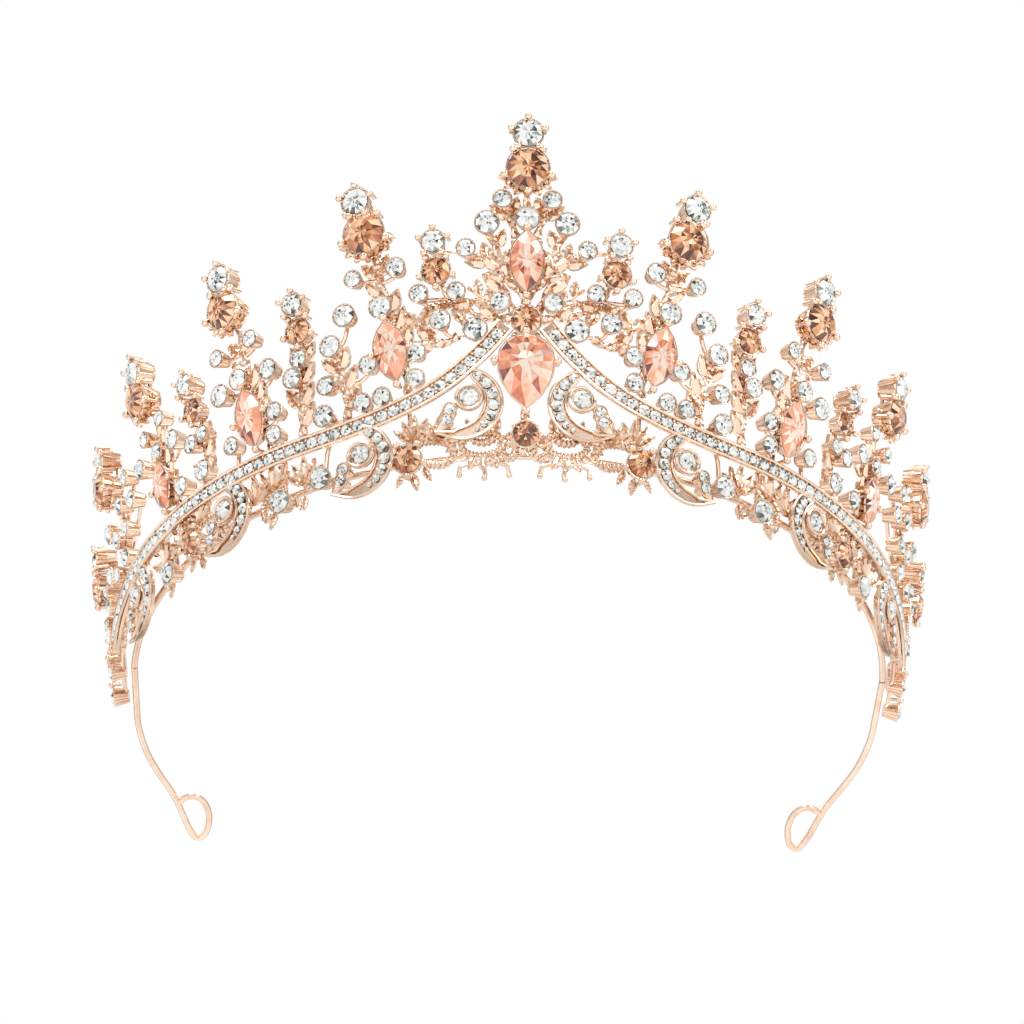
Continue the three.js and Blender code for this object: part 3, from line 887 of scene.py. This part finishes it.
def twig_routes(stones: Sequence[Stone], stems: Sequence[Route], drop_share: float = 0.4) -> list[Route]:
    """A curved twig from the nearest stem to each stone, starting lower as a shoot does."""
    samples = np.vstack([smooth_route(stem, 0.8) for stem in stems])
    routes = []
    for stone in stones:
        aside = np.abs(samples[:, 0] - stone.u)
        distance = np.hypot(samples[:, 0] - stone.u, samples[:, 1] - stone.v + drop_share * aside)
        root = samples[int(np.argmin(distance))]
        if distance.min() > 0.8:
            bend_u = 0.35 * root[0] + 0.65 * stone.u
            bend_v = 0.65 * root[1] + 0.35 * stone.v
            routes.append([(root[0], root[1], 0.0), (bend_u, bend_v, 0.0), (stone.u, stone.v, 0.0)])
    return routes


# ---- sub-assemblies -------------------------------------------------------------------------------

LARGE_SEAT = 3.4
SMALL_SEAT = 2.2
POINT_UP = 0.5 * math.pi
POINT_DOWN = -0.5 * math.pi


def clear(u: float, v: float, radius: float) -> Stone:
    """A small clear stone in a plain cup."""
    return Stone("clear", u, v, radius)


def spire_tip(name: str, u: float, v: float, radius: float) -> Stone:
    """A clear stone in the five-clawed cup at a spire's tip."""
    return Stone(name, u, v, radius, seat=LARGE_SEAT, claws=5, claw_turn=POINT_UP)


def amber(name: str, u: float, v: float, radius: float, seat: float = SMALL_SEAT, claws: int = 5) -> Stone:
    """A round amber stone."""
    return Stone(name, u, v, radius, seat=seat, glass=Glass.AMBER, claws=claws, claw_turn=POINT_DOWN)


def marquise(name: str, u: float, v: float, radius: float, point: float, tilt: float) -> Stone:
    """A peach marquise with a claw at each point and each side."""
    return Stone(name, u, v, radius, cut=Cut.MARQUISE, point=point, tilt=tilt, glass=Glass.PEACH, claws=4)


@dataclass
class Spray:
    """One casting of the comb: rope stems, twigs, leaves, cups and the stones they hold."""

    name: str
    stems: list[Route]
    stones: list[Stone]
    smalls: list[tuple[float, float, float]]
    tips: list[tuple[float, float, float]] = field(default_factory=list)
    leaf: float = 4.4
    leaf_gap: float = 3.9
    sprigs: list[Route] = field(default_factory=list)
    palms: list[tuple[float, float]] = field(default_factory=list)
    scrolls: list[Route] = field(default_factory=list)
    lone_leaves: list[tuple[float, ...]] = field(default_factory=list)
    prongs: list[Route] = field(default_factory=list)
    ground: Route = ()
    sides: tuple[Side, ...] = (Side.RIGHT, Side.LEFT)

    def clears(self) -> list[Stone]:
        """The clear stones that have no node of their own."""
        tips = [spire_tip("tip", u, v, radius) for u, v, radius in self.tips]
        return [clear(*small) for small in self.smalls] + tips

    def foliage(self) -> bpy.types.Object:
        """The flat leafwork, modelled once for both sides."""
        held = [*self.stones, *self.clears()]
        grounds = [self.ground] if len(self.ground) else []
        pieces = [LEAFWORK.stalks([*self.stems, *grounds]),
                  LEAFWORK.twigs([*twig_routes(held, [*self.stems, *grounds]), *self.sprigs])]
        for stem in self.stems:
            pieces += LEAFWORK.leaves_along(stem, self.leaf, self.leaf_gap, held)
        for sprig in self.sprigs:
            pieces += LEAFWORK.leaves_along(sprig, 0.75 * self.leaf, 2.6, held)
        for stone in self.stones:
            if stone.seat == LARGE_SEAT and stone.glass is Glass.AMBER:
                pieces += LEAFWORK.collar(stone)
        for u, v in self.palms:
            pieces += LEAFWORK.palm(u, v)
        for leaf in self.lone_leaves:
            pieces.append(LEAFWORK.leaf_at(*leaf))
        if self.scrolls:
            pieces.append(LEAFWORK.ropes(self.scrolls))
        if self.prongs:
            pieces.append(LEAFWORK.twigs(self.prongs))
            pieces += [SETTER.ball(Matrix.Translation((*route[-1], 0)), 0.55) for route in self.prongs]
        return join_all(f"{self.name}_flat", pieces)

    def build(self, metal: bpy.types.Material, glasses: dict[Glass, bpy.types.Material],
              casting: str) -> None:
        """Makes the casting and its stones on each side.

        Args:
            metal: The plating.
            glasses: The stones' finishes.
            casting: The casting's node name, with {side} where the side goes.
        """
        flat = self.foliage()
        for side in self.sides:
            both = self.stones + self.clears()
            metalwork = [wrap_piece(flat, side)]
            for stone in both:
                metalwork += SETTER.setting(stone, side)
            node = casting.format(side=side.word)
            piece = join_all(f"{node}_metalwork", metalwork)
            dress(piece, metal, [node], smooth=True)
            self._small_stones(side, glasses, node)
            for stone in self.stones:
                self._node_stone(stone, side, glasses)
        drop([flat])

    def _small_stones(self, side: Side, glasses: dict[Glass, bpy.types.Material], node: str) -> None:
        """Sets the small clear stones of one side as one piece."""
        gems = []
        for stone in self.clears():
            gem = CUTTER.cut_stone(stone)
            gem.data.transform(stone.place(side))
            gems.append(gem)
        piece = join_all(f"{node}_clear_stones", gems)
        paint_facets(piece, seed=len(gems) + 7 * side.value + 20)
        dress(piece, glasses[Glass.CLEAR], [], smooth=False)

    def _node_stone(self, stone: Stone, side: Side, glasses: dict[Glass, bpy.types.Material]) -> None:
        """Sets one larger stone, which stands for its own node."""
        node = stone.name if len(self.sides) == 1 else f"{stone.name}_{side.word}"
        gem = CUTTER.cut_stone(stone)
        gem.data.transform(stone.place(side))
        piece = join_all(f"{node}_cut", [gem])
        # Peach stones get a painted highlight over their middle; the others get a stronger painted star of light
        # and dark facets.
        if stone.glass is Glass.PEACH:
            paint_facets(piece, seed=sum(map(ord, node)), glow=0.8, shade=0.06, swing=0.1)
        else:
            paint_facets(piece, seed=sum(map(ord, node)), shade=stone.shade - 0.04, swing=0.5)
        dress(piece, glasses[stone.glass], [node], smooth=False)


@dataclass
class PaveRail:
    """The channel of pave stones that falls from the middle to the comb's end."""

    line: Route = (
        (6.9, 20.1), (9.6, 17.4), (13, 14.5), (17, 12), (21, 10.3), (26, 8.8), (32, 7.8), (40, 7.3),
        (60, 7.4), (76, 7.3), (90, 6.6), (102, 5), (110, 3.8))
    rail_head: tuple[float, float] = (3.6, 24.2)
    half_width: float = 1.55
    back: float = 1.0
    floor: float = 1.6
    rim_radius: float = 0.34
    rim_height: float = 2.1
    spacing: float = 2.3
    stone_radius: float = 1.1
    stone_seat: float = 1.95
    bead_radius: float = 0.27

    def build(self, metal: bpy.types.Material, glass: bpy.types.Material) -> None:
        """Makes the rail and its stones on both sides."""
        middle = smooth_route([self.rail_head, *self.line], 0.8)
        floor_outline = [(-self.half_width, self.back), (self.half_width, self.back),
                         (self.half_width, self.floor), (-self.half_width, self.floor)]
        pieces = [draw_strands([middle], floor_outline)]
        for hand in (-1, 1):
            edge = self._beside(middle, hand * (self.half_width - 0.1), self.rim_height)
            pieces.append(draw_strands([edge], ring_of(self.rim_radius, 8)))
        marks = smooth_route([self.rail_head, *self.line], self.spacing)
        halves = smooth_route([self.rail_head, *self.line], self.spacing / 2)[1::2]
        for hand in (-1, 1):
            for u, v, w in self._beside(halves, hand * 0.78, self.stone_seat + 0.1):
                pieces.append(SETTER.ball(Matrix.Translation((u, v, w)), self.bead_radius))
        flat = join_all("rail_flat", pieces)
        pattern = CUTTER.pattern(8, 1)
        scale = Matrix.Scale(self.stone_radius, 4)
        gems = [stamp(pattern, Matrix.Translation((u, v, self.stone_seat)) @ scale)
                for u, v, _ in marks[1:-1]]
        row = join_all("row_flat", gems)
        for side in Side:
            rail = join_all(f"pave_rail_{side.word}_channel", [wrap_piece(flat, side)])
            dress(rail, metal, [f"pave_rail_{side.word}"], smooth=True)
            stones = join_all(f"pave_rail_{side.word}_stones", [wrap_piece(row, side)])
            paint_facets(stones, seed=40 + side.value)
            dress(stones, glass, [], smooth=False)
        drop([flat, row])

    @staticmethod
    def _beside(line: np.ndarray, aside: float, height: float) -> np.ndarray:
        """A line that runs beside another in the drawing, at the given height."""
        way = np.gradient(line, axis=0)
        way /= np.linalg.norm(way, axis=1, keepdims=True)
        moved = line.copy()
        moved[:, 0] -= way[:, 1] * aside
        moved[:, 1] += way[:, 0] * aside
        moved[:, 2] = height
        return moved


@dataclass
class SickleScroll:
    """A sickle of pave with a polished tail that curls back, over two stones, to a deep bezel."""

    radius: float = 6.7
    start: float = 1.8
    sweep: float = 3.25
    thin: float = 1.1
    swell: float = 1.9
    back: float = 1.0
    front: float = 2.0
    rim: float = 0.3
    foot: tuple[float, float] = (5.2, -4.9)
    curl: Route = ((4.9, -4.9), (4.3, -4.2), (3.4, -2.7), (2.6, -0.9), (1.5, 0.2), (0.4, 0.7))
    cups: tuple[tuple[float, float, float], ...] = ((-0.9, 1.1, 1.75), (2.5, -0.9, 1.0), (3.1, -2.9, 1.0))
    ring_radius: float = 2.25
    pave: tuple[tuple[float, float], ...] = (
        (0.065, 0.9), (0.18, 1.0), (0.305, 1.08), (0.435, 1.08), (0.56, 1.0), (0.67, 0.75), (0.76, 0.5))
    middles: tuple[tuple[str, float, float], ...] = (
        ("a", 10.8, 9.2), ("b", 30.6, 1.2), ("c", 60.1, 0.8), ("d", 90.2, 0.1))

    def _arc(self, share: float, aside: float) -> tuple[float, float]:
        """A point of the sickle, at a share of its sweep and of its width, from the outer edge."""
        angle = self.start + share * self.sweep
        width = self.thin + self.swell * math.sqrt(math.sin(math.pi * share))
        reach = self.radius - aside * width
        return reach * math.cos(angle), reach * math.sin(angle)

    def _plate(self) -> bpy.types.Object:
        """The sickle's flat plate and its polished foot, extruded from their outline."""
        clear_selection()
        shares = [i / 20 for i in range(21)]
        outline = [self._arc(s, 0) for s in shares] + [self.foot]
        outline += [self._arc(s, 1) for s in reversed(shares)]
        bpy.ops.mesh.primitive_circle_add(vertices=len(outline), radius=1.0, fill_type="NGON")
        plate = bpy.context.object
        put_points(plate, np.array([[x, y, self.back] for x, y in outline]))
        with edit_mode(plate):
            bpy.ops.mesh.select_all(action="SELECT")
            rise = {"value": (0, 0, self.front - 0.4 - self.back)}
            bpy.ops.mesh.extrude_region_move(TRANSFORM_OT_translate=rise)
            bpy.ops.mesh.select_all(action="SELECT")
            bpy.ops.mesh.normals_make_consistent(inside=False)
            bpy.ops.mesh.quads_convert_to_tris(quad_method="BEAUTY", ngon_method="BEAUTY")
        return plate

    def _bezel(self) -> bpy.types.Object:
        """The open ring that stands round the scroll's largest stone."""
        u, v, _ = self.cups[0]
        turns = np.linspace(0, 2 * math.pi, 28, endpoint=False)
        ring = np.array([[u + self.ring_radius * math.cos(t), v + self.ring_radius * math.sin(t),
                          self.front + 0.6] for t in turns])
        low = ring - np.array([0, 0, 0.9])
        return draw_strands([ring, low], ring_of(0.3, 8), closed=True)

    def build(self, metal: bpy.types.Material, glass: bpy.types.Material) -> None:
        """Makes every scroll on both sides."""
        shares = [i / 24 for i in range(25)]
        foot = np.array([[*self.foot, self.front]])
        rims = [np.vstack([[[*self._arc(s, aside), self.front] for s in shares], foot])
                for aside in (0.0, 1.0)]
        tail_line = smooth_route([(x, y, self.front - 0.5) for x, y in self.curl], 0.35)
        oval = [(1.3 * x, 0.55 * y) for x, y in ring_of(1.0, 14)]
        tail = draw_strands([tail_line], oval, taper=lambda t: 0.3 + 0.8 * math.sin(math.pi * t ** 0.8))
        flat = join_all("scroll_flat", [
            self._plate(), draw_strands(rims, ring_of(self.rim, 8)), tail, self._bezel()])
        smalls = [Stone("pave", *self._arc(share, 0.5), radius, seat=self.front - 0.05)
                  for share, radius in self.pave]
        cups = [Stone("cup", u, v, radius, seat=self.front + 0.35) for u, v, radius in self.cups]
        for letter, u, v in self.middles:
            moved = Matrix.Translation((u, v, 0))
            shifted = stamp(flat, moved)
            for side in Side:
                node = f"crescent_{letter}_{side.word}"
                metalwork = [wrap_piece(shifted, side)]
                gems = []
                for stone in [*smalls, *cups]:
                    here = Stone(stone.name, u + stone.u, v + stone.v, stone.radius, seat=stone.seat)
                    if stone.name == "cup":
                        metalwork += SETTER.setting(here, side)
                    gem = CUTTER.cut_stone(here)
                    gem.data.transform(here.place(side))
                    gems.append(gem)
                dress(join_all(f"{node}_scroll", metalwork), metal, [node], smooth=True)
                stones = join_all(f"{node}_stones", gems)
                paint_facets(stones, seed=60 + ord(letter) + side.value)
                dress(stones, glass, [], smooth=False)
            drop([shifted])
        drop([flat])


@dataclass
class Headband:
    """The round wire behind the comb and its two arms, each with a closed loop."""

    wire_radius: float = 0.65
    bend_radius: float = 72.7
    height: float = 0.8
    joint: float = 1.5
    leaves_comb: float = 1.66
    loop: Route = (
        (72.2, 15), (70.8, 24), (68.5, 31.5), (65.9, 38.5), (64.4, 44), (63, 50), (61.3, 54.4),
        (59.4, 52.6), (58.6, 47), (59.4, 42), (61.2, 39.6), (62.9, 39.8), (64.5, 41.4))

    def _on_band(self, angle: float) -> tuple[float, float, float]:
        """A point of the wire behind the comb."""
        return self.bend_radius * math.sin(angle), -self.bend_radius * math.cos(angle), self.height

    def build(self, metal: bpy.types.Material) -> None:
        """Makes the front wire and the arms."""
        front = np.array([self._on_band(self.joint * (i / 60 - 1)) for i in range(121)])
        self._dress_wire(front, "headband_front", metal)
        gap = 0.4 / self.bend_radius
        start = [self._on_band(self.joint + gap), self._on_band(self.leaves_comb)]
        for side in Side:
            route = [(side.value * x, y, self.height) for x, y, _ in start]
            route += [(side.value * x, y, self.height) for x, y in self.loop]
            self._dress_wire(smooth_route(route, 0.7), f"headband_arm_{side.word}", metal)

    def _dress_wire(self, route: np.ndarray, node: str, metal: bpy.types.Material) -> None:
        """Draws one length of wire from a route in band millimetres."""
        wire = draw_strands([route], ring_of(self.wire_radius, 14))
        put_points(wire, (points_of(wire) + BEND.middle()) * MM)
        dress(join_all(f"{node}_wire", [wire]), metal, [node], smooth=True)


# ---- the studio -----------------------------------------------------------------------------------


@dataclass
class Studio:
    """A plain pale floor, soft lights, and the camera, which looks up at the front of the comb."""

    below: float = math.radians(38.0)
    yaw: float = math.radians(2.6)
    roll: float = math.radians(-0.4)
    distance: float = 0.9
    lens: float = 166.1
    target: tuple[float, float, float] = (0.0, -40.0, 20.0)
    shift: tuple[float, float] = (-0.00425, -0.0277)
    floor_size: float = 1.6

    def build(self) -> None:
        """Makes the floor, world, lights and camera."""
        self._floor()
        self._world()
        self._lamp("key", (-0.35, -0.75, 0.75), 0.45, 5.0)
        self._lamp("fill", (0.7, -0.55, 0.45), 0.5, 2.4)
        self._lamp("top", (0.0, 0.15, 0.95), 0.7, 3.2)
        self._camera()

    def _floor(self) -> None:
        """A pale sheet, seen from above only."""
        clear_selection()
        bpy.ops.mesh.primitive_plane_add(size=self.floor_size, location=(0, 0, -0.0002))
        floor = bpy.context.object
        floor.name = "floor"
        board = Board("pale_floor")
        pale = board.node("ShaderNodeBsdfPrincipled", None, {
            "Base Color": (0.86, 0.86, 0.86, 1.0), "Roughness": 0.7})
        through = board.node("ShaderNodeBsdfTransparent")
        under = board.node("ShaderNodeNewGeometry", output="Backfacing")
        floor.data.materials.append(board.finish(
            board.node("ShaderNodeMixShader", None, {0: under, 1: pale, 2: through})))

    def _world(self) -> None:
        """White behind the tiara, and a soft room with darker sides for the metal to reflect."""
        world = bpy.data.worlds.new("room")
        bpy.context.scene.world = world
        world.use_nodes = True
        tree = world.node_tree
        tree.nodes.clear()
        place = tree.nodes.new("ShaderNodeTexCoord")
        split = tree.nodes.new("ShaderNodeSeparateXYZ")
        ramp = tree.nodes.new("ShaderNodeValToRGB")
        Board._fill_ramp(ramp.color_ramp, ((0.0, (0.62, 0.60, 0.58)), (0.44, (0.16, 0.14, 0.13)),
                                           (0.6, (0.85, 0.84, 0.83)), (1.0, (1.0, 1.0, 1.0))))
        span = tree.nodes.new("ShaderNodeMapRange")
        span.inputs["From Min"].default_value = -1.0
        room = tree.nodes.new("ShaderNodeBackground")
        white = tree.nodes.new("ShaderNodeBackground")
        path = tree.nodes.new("ShaderNodeLightPath")
        mix = tree.nodes.new("ShaderNodeMixShader")
        output = tree.nodes.new("ShaderNodeOutputWorld")
        white.inputs["Color"].default_value = (1, 1, 1, 1)
        room.inputs["Strength"].default_value = 0.86
        link = tree.links.new
        link(place.outputs["Generated"], split.inputs[0])
        link(split.outputs["Z"], span.inputs["Value"])
        link(span.outputs["Result"], ramp.inputs[0])
        link(ramp.outputs["Color"], room.inputs["Color"])
        link(path.outputs["Is Camera Ray"], mix.inputs[0])
        link(room.outputs[0], mix.inputs[1])
        link(white.outputs[0], mix.inputs[2])
        link(mix.outputs[0], output.inputs["Surface"])

    def _lamp(self, name: str, place: tuple[float, float, float], size: float, power: float) -> None:
        """A square soft light that faces the tiara."""
        clear_selection()
        bpy.ops.object.light_add(type="AREA", location=place)
        lamp = bpy.context.object
        lamp.name = name
        lamp.data.size = size
        lamp.data.energy = power
        lamp.rotation_euler = (Vector((0, 0, 0.03)) - Vector(place)).to_track_quat("-Z", "Y").to_euler()

    def _camera(self) -> None:
        """The camera, level with nothing: below the band and looking up."""
        forward = Vector((math.sin(self.yaw) * math.cos(self.below),
                          math.cos(self.yaw) * math.cos(self.below), math.sin(self.below)))
        right = Vector((math.cos(self.yaw), -math.sin(self.yaw), 0.0))
        up = right.cross(forward)
        right, up = (math.cos(self.roll) * right + math.sin(self.roll) * up,
                     math.cos(self.roll) * up - math.sin(self.roll) * right)
        aim = Vector((np.array(self.target) + BEND.middle()) * MM)
        clear_selection()
        bpy.ops.object.camera_add()
        camera = bpy.context.object
        camera.name = "camera"
        turn = Matrix([right, up, -forward]).transposed().to_4x4()
        camera.matrix_world = Matrix.Translation(aim - forward * self.distance) @ turn
        camera.data.lens = self.lens
        camera.data.shift_x, camera.data.shift_y = self.shift
        camera.data.clip_end = 10.0
        bpy.context.scene.camera = camera
        bpy.context.scene.view_settings.view_transform = "Standard"


# ---- the tiara ------------------------------------------------------------------------------------

CENTRE_RIGHT_SMALLS = [
    (4.2, 48.8, 1.6), (6.8, 44.2, 2.1), (10.4, 39.4, 1.6), (4.6, 28.6, 1.7), (8.8, 23.5, 2.1),
    (12.1, 31.1, 1.6), (18.6, 31.4, 1.6), (14.9, 25.8, 1.8)]


def mirrored(points: Sequence[Sequence[float]]) -> list[tuple[float, ...]]:
    """Points with u turned to the other side."""
    return [(-point[0], *point[1:]) for point in points]


def both_ways(routes: Sequence[Route]) -> list[Route]:
    """Routes and their mirror images."""
    return [*routes, *(mirrored(route) for route in routes)]


def centre_motif() -> Spray:
    """The middle motif, drawn whole."""
    stems = both_ways([
        [(0, 27), (5, 26), (9.6, 27.6), (13.6, 31), (15.5, 35)],
        [(0, 30), (3.6, 34), (7, 37.4), (10.4, 39.4)],
        [(2.2, 27.5), (4.4, 33), (5, 38.5), (6.8, 43.4)],
        [(1.8, 42), (2.6, 45), (4.2, 48.8)],
        [(0, 3), (3.4, 1.6), (5, 1.9)]])
    ring = [(14.9 + 3.9 * math.cos(t), 25.8 + 3.9 * math.sin(t)) for t in np.linspace(-2.4, 3.3, 12)]
    stems += both_ways([ring])
    stones = [
        amber("amber_crown", 0, 54.4, 3.8, LARGE_SEAT),
        amber("amber_over_pear", 0, 25, 2.6, claws=4),
        # This stone's painted facet reflections are set darker, with shade -0.3.
        Stone("amber_under_pear", 0, 3, 2.3, glass=Glass.AMBER, shade=-0.3),
        spire_tip("clear_crown_tip", 0, 61.3, 2.6),
        marquise("marquise_centre", 0, 36.5, 3, 6, 0),
        Stone("pear_centre", 0, 17, 5, cut=Cut.PEAR, point=9, glass=Glass.PEACH, claws=4, claw_turn=0.0),
        amber("amber_small_a_right", 15.5, 35.4, 2.5), amber("amber_small_a_left", -15.5, 35.4, 2.5)]
    sprigs = both_ways([[(5, 26.3), (7.5, 30), (10.2, 32.4)], [(13.8, 30.4), (17.5, 30.6)]])
    oval = [(7.6 + 3.9 * math.cos(t), 1.9 + 2.2 * math.sin(t)) for t in np.linspace(0.3, 6.6, 15)]
    inner = [(7.6 + 1.9 * math.cos(t), 3.2 + 1.0 * math.sin(t)) for t in np.linspace(3.4, 6.1, 8)]
    hook = [(3, 3.6), (1.6, 1.2), (2.4, -0.9), (4.6, -1)]
    prongs = both_ways([
        [(6.4, -0.2), (4.8, -1.8), (3.2, -2.4), (2.8, -4.2)], [(7.4, -0.3), (7.6, -2.2), (7.2, -3.6), (7.4, -4.6)],
        [(8.8, -0.2), (10.4, -1.8), (11.8, -2.2), (12, -3.8)]])
    claws = [(6.6, -0.1, -2.1, 3.2, 0.7), (7.6, -0.2, -1.57, 3.0, 0.8), (8.6, -0.1, -1.05, 3.2, 0.7),
             (3.6, 2.6, 2.5, 2.6, 0.6), (5.4, 4, 1.9, 2.6, 0.6), (9.6, 4, 1.2, 2.8, 0.6),
             (11.6, 2.4, 0.5, 3, 0.6), (4.8, 0.2, -2.6, 2.8, 0.6), (10.4, 0.2, -0.5, 2.8, 0.6)]
    claws += [(-u, v, math.pi - turn, length, width) for u, v, turn, length, width in claws]
    star = [(2 * math.cos(t), 3 + 2 * math.sin(t), t, 1.3, 0.9)
            for t in np.linspace(0, 2 * math.pi, 9)[:-1]]
    ruffle = [(2 * math.cos(t), 24.6 + 2 * math.sin(t), t, 1.5, 0.8)
              for t in np.linspace(-2.4, -0.74, 5)]
    return Spray(
        "centre", stems=[[(0, 29), (0, 40), (0, 58)], *stems], stones=stones, ground=((0, -0.5), (0, 30)),
        smalls=[*CENTRE_RIGHT_SMALLS, *mirrored(CENTRE_RIGHT_SMALLS), (0, 45, 2.1)],
        tips=[(15.8, 40.8, 2.1), (-15.8, 40.8, 2.1)], leaf=4.6, leaf_gap=4.4, sprigs=sprigs, prongs=prongs,
        scrolls=both_ways([oval, inner, hook]), lone_leaves=[*claws, *star, *ruffle], sides=(Side.RIGHT,))


def side_sprays() -> list[Spray]:
    """The four sprays of one half, from the middle outwards."""
    rail = PaveRail().line
    return [
        Spray("spray_1", ground=_between(rail, 18.1, 38.2), leaf=5.2,
              stems=[[(21, 10), (22, 20), (25, 32), (27.6, 44)], [(33, 7.8), (33, 16), (34.9, 24)]],
              stones=[amber("amber_large_1", 27.6, 44.5, 3.8, LARGE_SEAT),
                      spire_tip("clear_tip_1", 29, 51.3, 2.5),
                      amber("amber_low_1", 21, -0.4, 2.6),
                      marquise("marquise_1", 23.7, 21, 3, 6, 0.18)],
              smalls=[(22.6, 37.3, 1.7), (30.3, 36.7, 1.5), (25.4, 30, 2), (32.1, 30, 2), (34.9, 24.7, 1.9),
                      (27.9, 19.3, 1.6), (19.2, 20.2, 1.7), (19.4, 15.1, 1.6), (25.5, 12.6, 1.6),
                      (29.2, 12.3, 1.6), (36, 17.3, 1.6), (36.6, 11.6, 1.9), (37.7, -0.1, 2)],
              palms=[(20, 3.2), (41.6, 0.4), (15.6, 2.6)],
              scrolls=[low_scroll(21, -0.4), [(41, 2.6), (39, 1.6), (40, -0.4), (42, 0.6), (41, 2.6)]],
              lone_leaves=low_leaves(21, -0.4)),
        Spray("spray_2", ground=_between(rail, 40, 60.9), leaf=5,
              stems=[[(48, 7.3), (50.5, 16), (53.6, 28), (55.8, 39)], [(42, 7.3), (42, 16), (41, 28)]],
              stones=[amber("amber_large_2", 55.8, 39.8, 3.6, LARGE_SEAT),
                      spire_tip("clear_tip_2", 56.5, 46.4, 2.5),
                      amber("amber_small_b", 41, 29.7, 2.4),
                      marquise("marquise_2", 52, 16.8, 3, 6, 0.22)],
              smalls=[(41.2, 24.4, 1.6), (42.6, 21, 1.8), (51.2, 32.3, 1.5), (59, 31.9, 1.5),
                      (54.2, 25.5, 1.9), (47.6, 24.8, 1.8), (58.7, 24.3, 2), (46.7, 16.1, 1.6),
                      (46.9, 11.6, 1.6), (56.6, 13.4, 1.6), (46.3, -1.7, 2.1)],
              tips=[(41.4, 34.8, 2)], palms=[(48.6, 1.4), (52.6, 0.6)],
              scrolls=[[(46, 3), (49, 1.6), (51.4, -0.6), (51, -3), (48.6, -2.6)]],
              lone_leaves=[(44, -1, -1.9, 3.2, 0.5), (48.6, -2.4, -1.2, 3.2, 0.5), (42, -1.6, -1.5, 2.8, 0.5)]),
        Spray("spray_3", ground=_between(rail, 62.7, 85.5), leaf=4.7,
              stems=[[(73, 7.3), (75.6, 15), (78.4, 26), (81, 35)], [(66, 7.3), (65, 15), (65.9, 25)]],
              stones=[amber("amber_large_3", 81, 35.5, 3.3, LARGE_SEAT),
                      amber("amber_small_c", 65.9, 25, 2.2),
                      amber("amber_low_2", 68.6, 0.2, 2.4),
                      marquise("marquise_3", 76.4, 15.6, 2.5, 5, 0.2)],
              smalls=[(67, 18.8, 1.6), (63.8, 19.4, 1.4), (64.2, 12.2, 1.8), (75.9, 29.1, 1.4),
                      (81.5, 28, 1.4), (77.4, 23, 1.6), (72.2, 22.6, 1.8), (84, 23.4, 1.8),
                      (70.4, 12.2, 1.7), (76.4, -1.8, 2)],
              tips=[(66.4, 30.2, 1.9), (81.8, 42.0, 2.4)], palms=[(67.6, 3.4), (79.4, 0.6), (72.4, 1.2)],
              scrolls=[low_scroll(68.6, 0.2), [(75, 3), (78.4, 2), (80.8, -0.4), (80, -2.6), (78, -2)]],
              lone_leaves=[*low_leaves(68.6, 0.2), (78, -2.4, -1.4, 3, 0.5)]),
        Spray("spray_4", ground=_between(rail, 87.3, 109.5), leaf=4.3,
              stems=[[(95, 6), (97, 14), (100, 23), (102, 30)], [(111, 4), (113, 9), (116, 15), (117.4, 20)]],
              stones=[amber("amber_large_4", 102, 30.9, 3, LARGE_SEAT),
                      amber("amber_large_5", 117.4, 20.2, 2.8, LARGE_SEAT),
                      marquise("marquise_4", 122.6, 8.2, 2, 4, 0)],
              smalls=[(88.8, 20.3, 1.6), (91.2, 26.3, 1.5), (95, 23, 1.6), (92.6, 16.6, 1.5),
                      (97.6, 17.6, 1.7), (103.6, 22.6, 1.7), (93.4, 11.4, 1.7), (105, 14.6, 1.7),
                      (99.4, 11.4, 1.5), (109.4, 11.4, 1.6), (112.6, 16.2, 1.6), (114, 8.2, 1.5),
                      (118.4, 13.2, 1.6), (118.4, 3.4, 1.5), (123.4, 1.4, 1.6)],
              tips=[(101, 36.2, 2), (116, 25.8, 2)])]


def low_scroll(u: float, v: float) -> list[tuple[float, float]]:
    """The rope scroll beside and over a low amber stone at (u, v)."""
    beside = [(-2.6, -0.6), (-4.4, -0.9), (-5.9, -1.1), (-7.6, -0.2), (-8, 1.4), (-6.8, 2.9), (-4.4, 3.5),
              (-1.6, 3.4), (1.6, 2.6)]
    return [(u + du, v + dv) for du, dv in beside]


def low_leaves(u: float, v: float) -> list[tuple[float, ...]]:
    """The leaves that hang under a low amber stone at (u, v)."""
    return [(u - 2.4, v - 1.4, -2.1, 3, 0.5), (u - 0.6, v - 2.2, -1.75, 3.4, 0.5),
            (u + 1.6, v - 2, -1.2, 2.6, 0.5), (u - 6.6, v + 1.2, 2.6, 2.2, 0.5)]


def _between(line: Route, start: float, end: float) -> list[tuple[float, float]]:
    """The part of a line from one u to another."""
    dense = smooth_route(line, 1.0)
    kept = [(float(p[0]), float(p[1])) for p in dense if start < p[0] < end]
    return kept[::3]


def main() -> None:
    """Builds the tiara and the studio round it."""
    logging.basicConfig(level=logging.INFO, format="%(name)s: %(message)s")
    Studio().build()
    metal = RoseGold().material()
    glasses = {glass: finish.material() for glass, finish in FINISHES.items()}
    SETTER.prepare()
    LEAFWORK.prepare()
    Headband().build(metal)
    PaveRail().build(metal, glasses[Glass.CLEAR])
    SickleScroll().build(metal, glasses[Glass.CLEAR])
    centre_motif().build(metal, glasses, "centre_casting")
    for spray in side_sprays():
        spray.build(metal, glasses, f"{spray.name}_{{side}}")
    drop([*CUTTER.patterns.values(), *SETTER.small_patterns.values(), LEAFWORK.leaf])
    clear_selection()


if __name__ == "__main__":
    main()
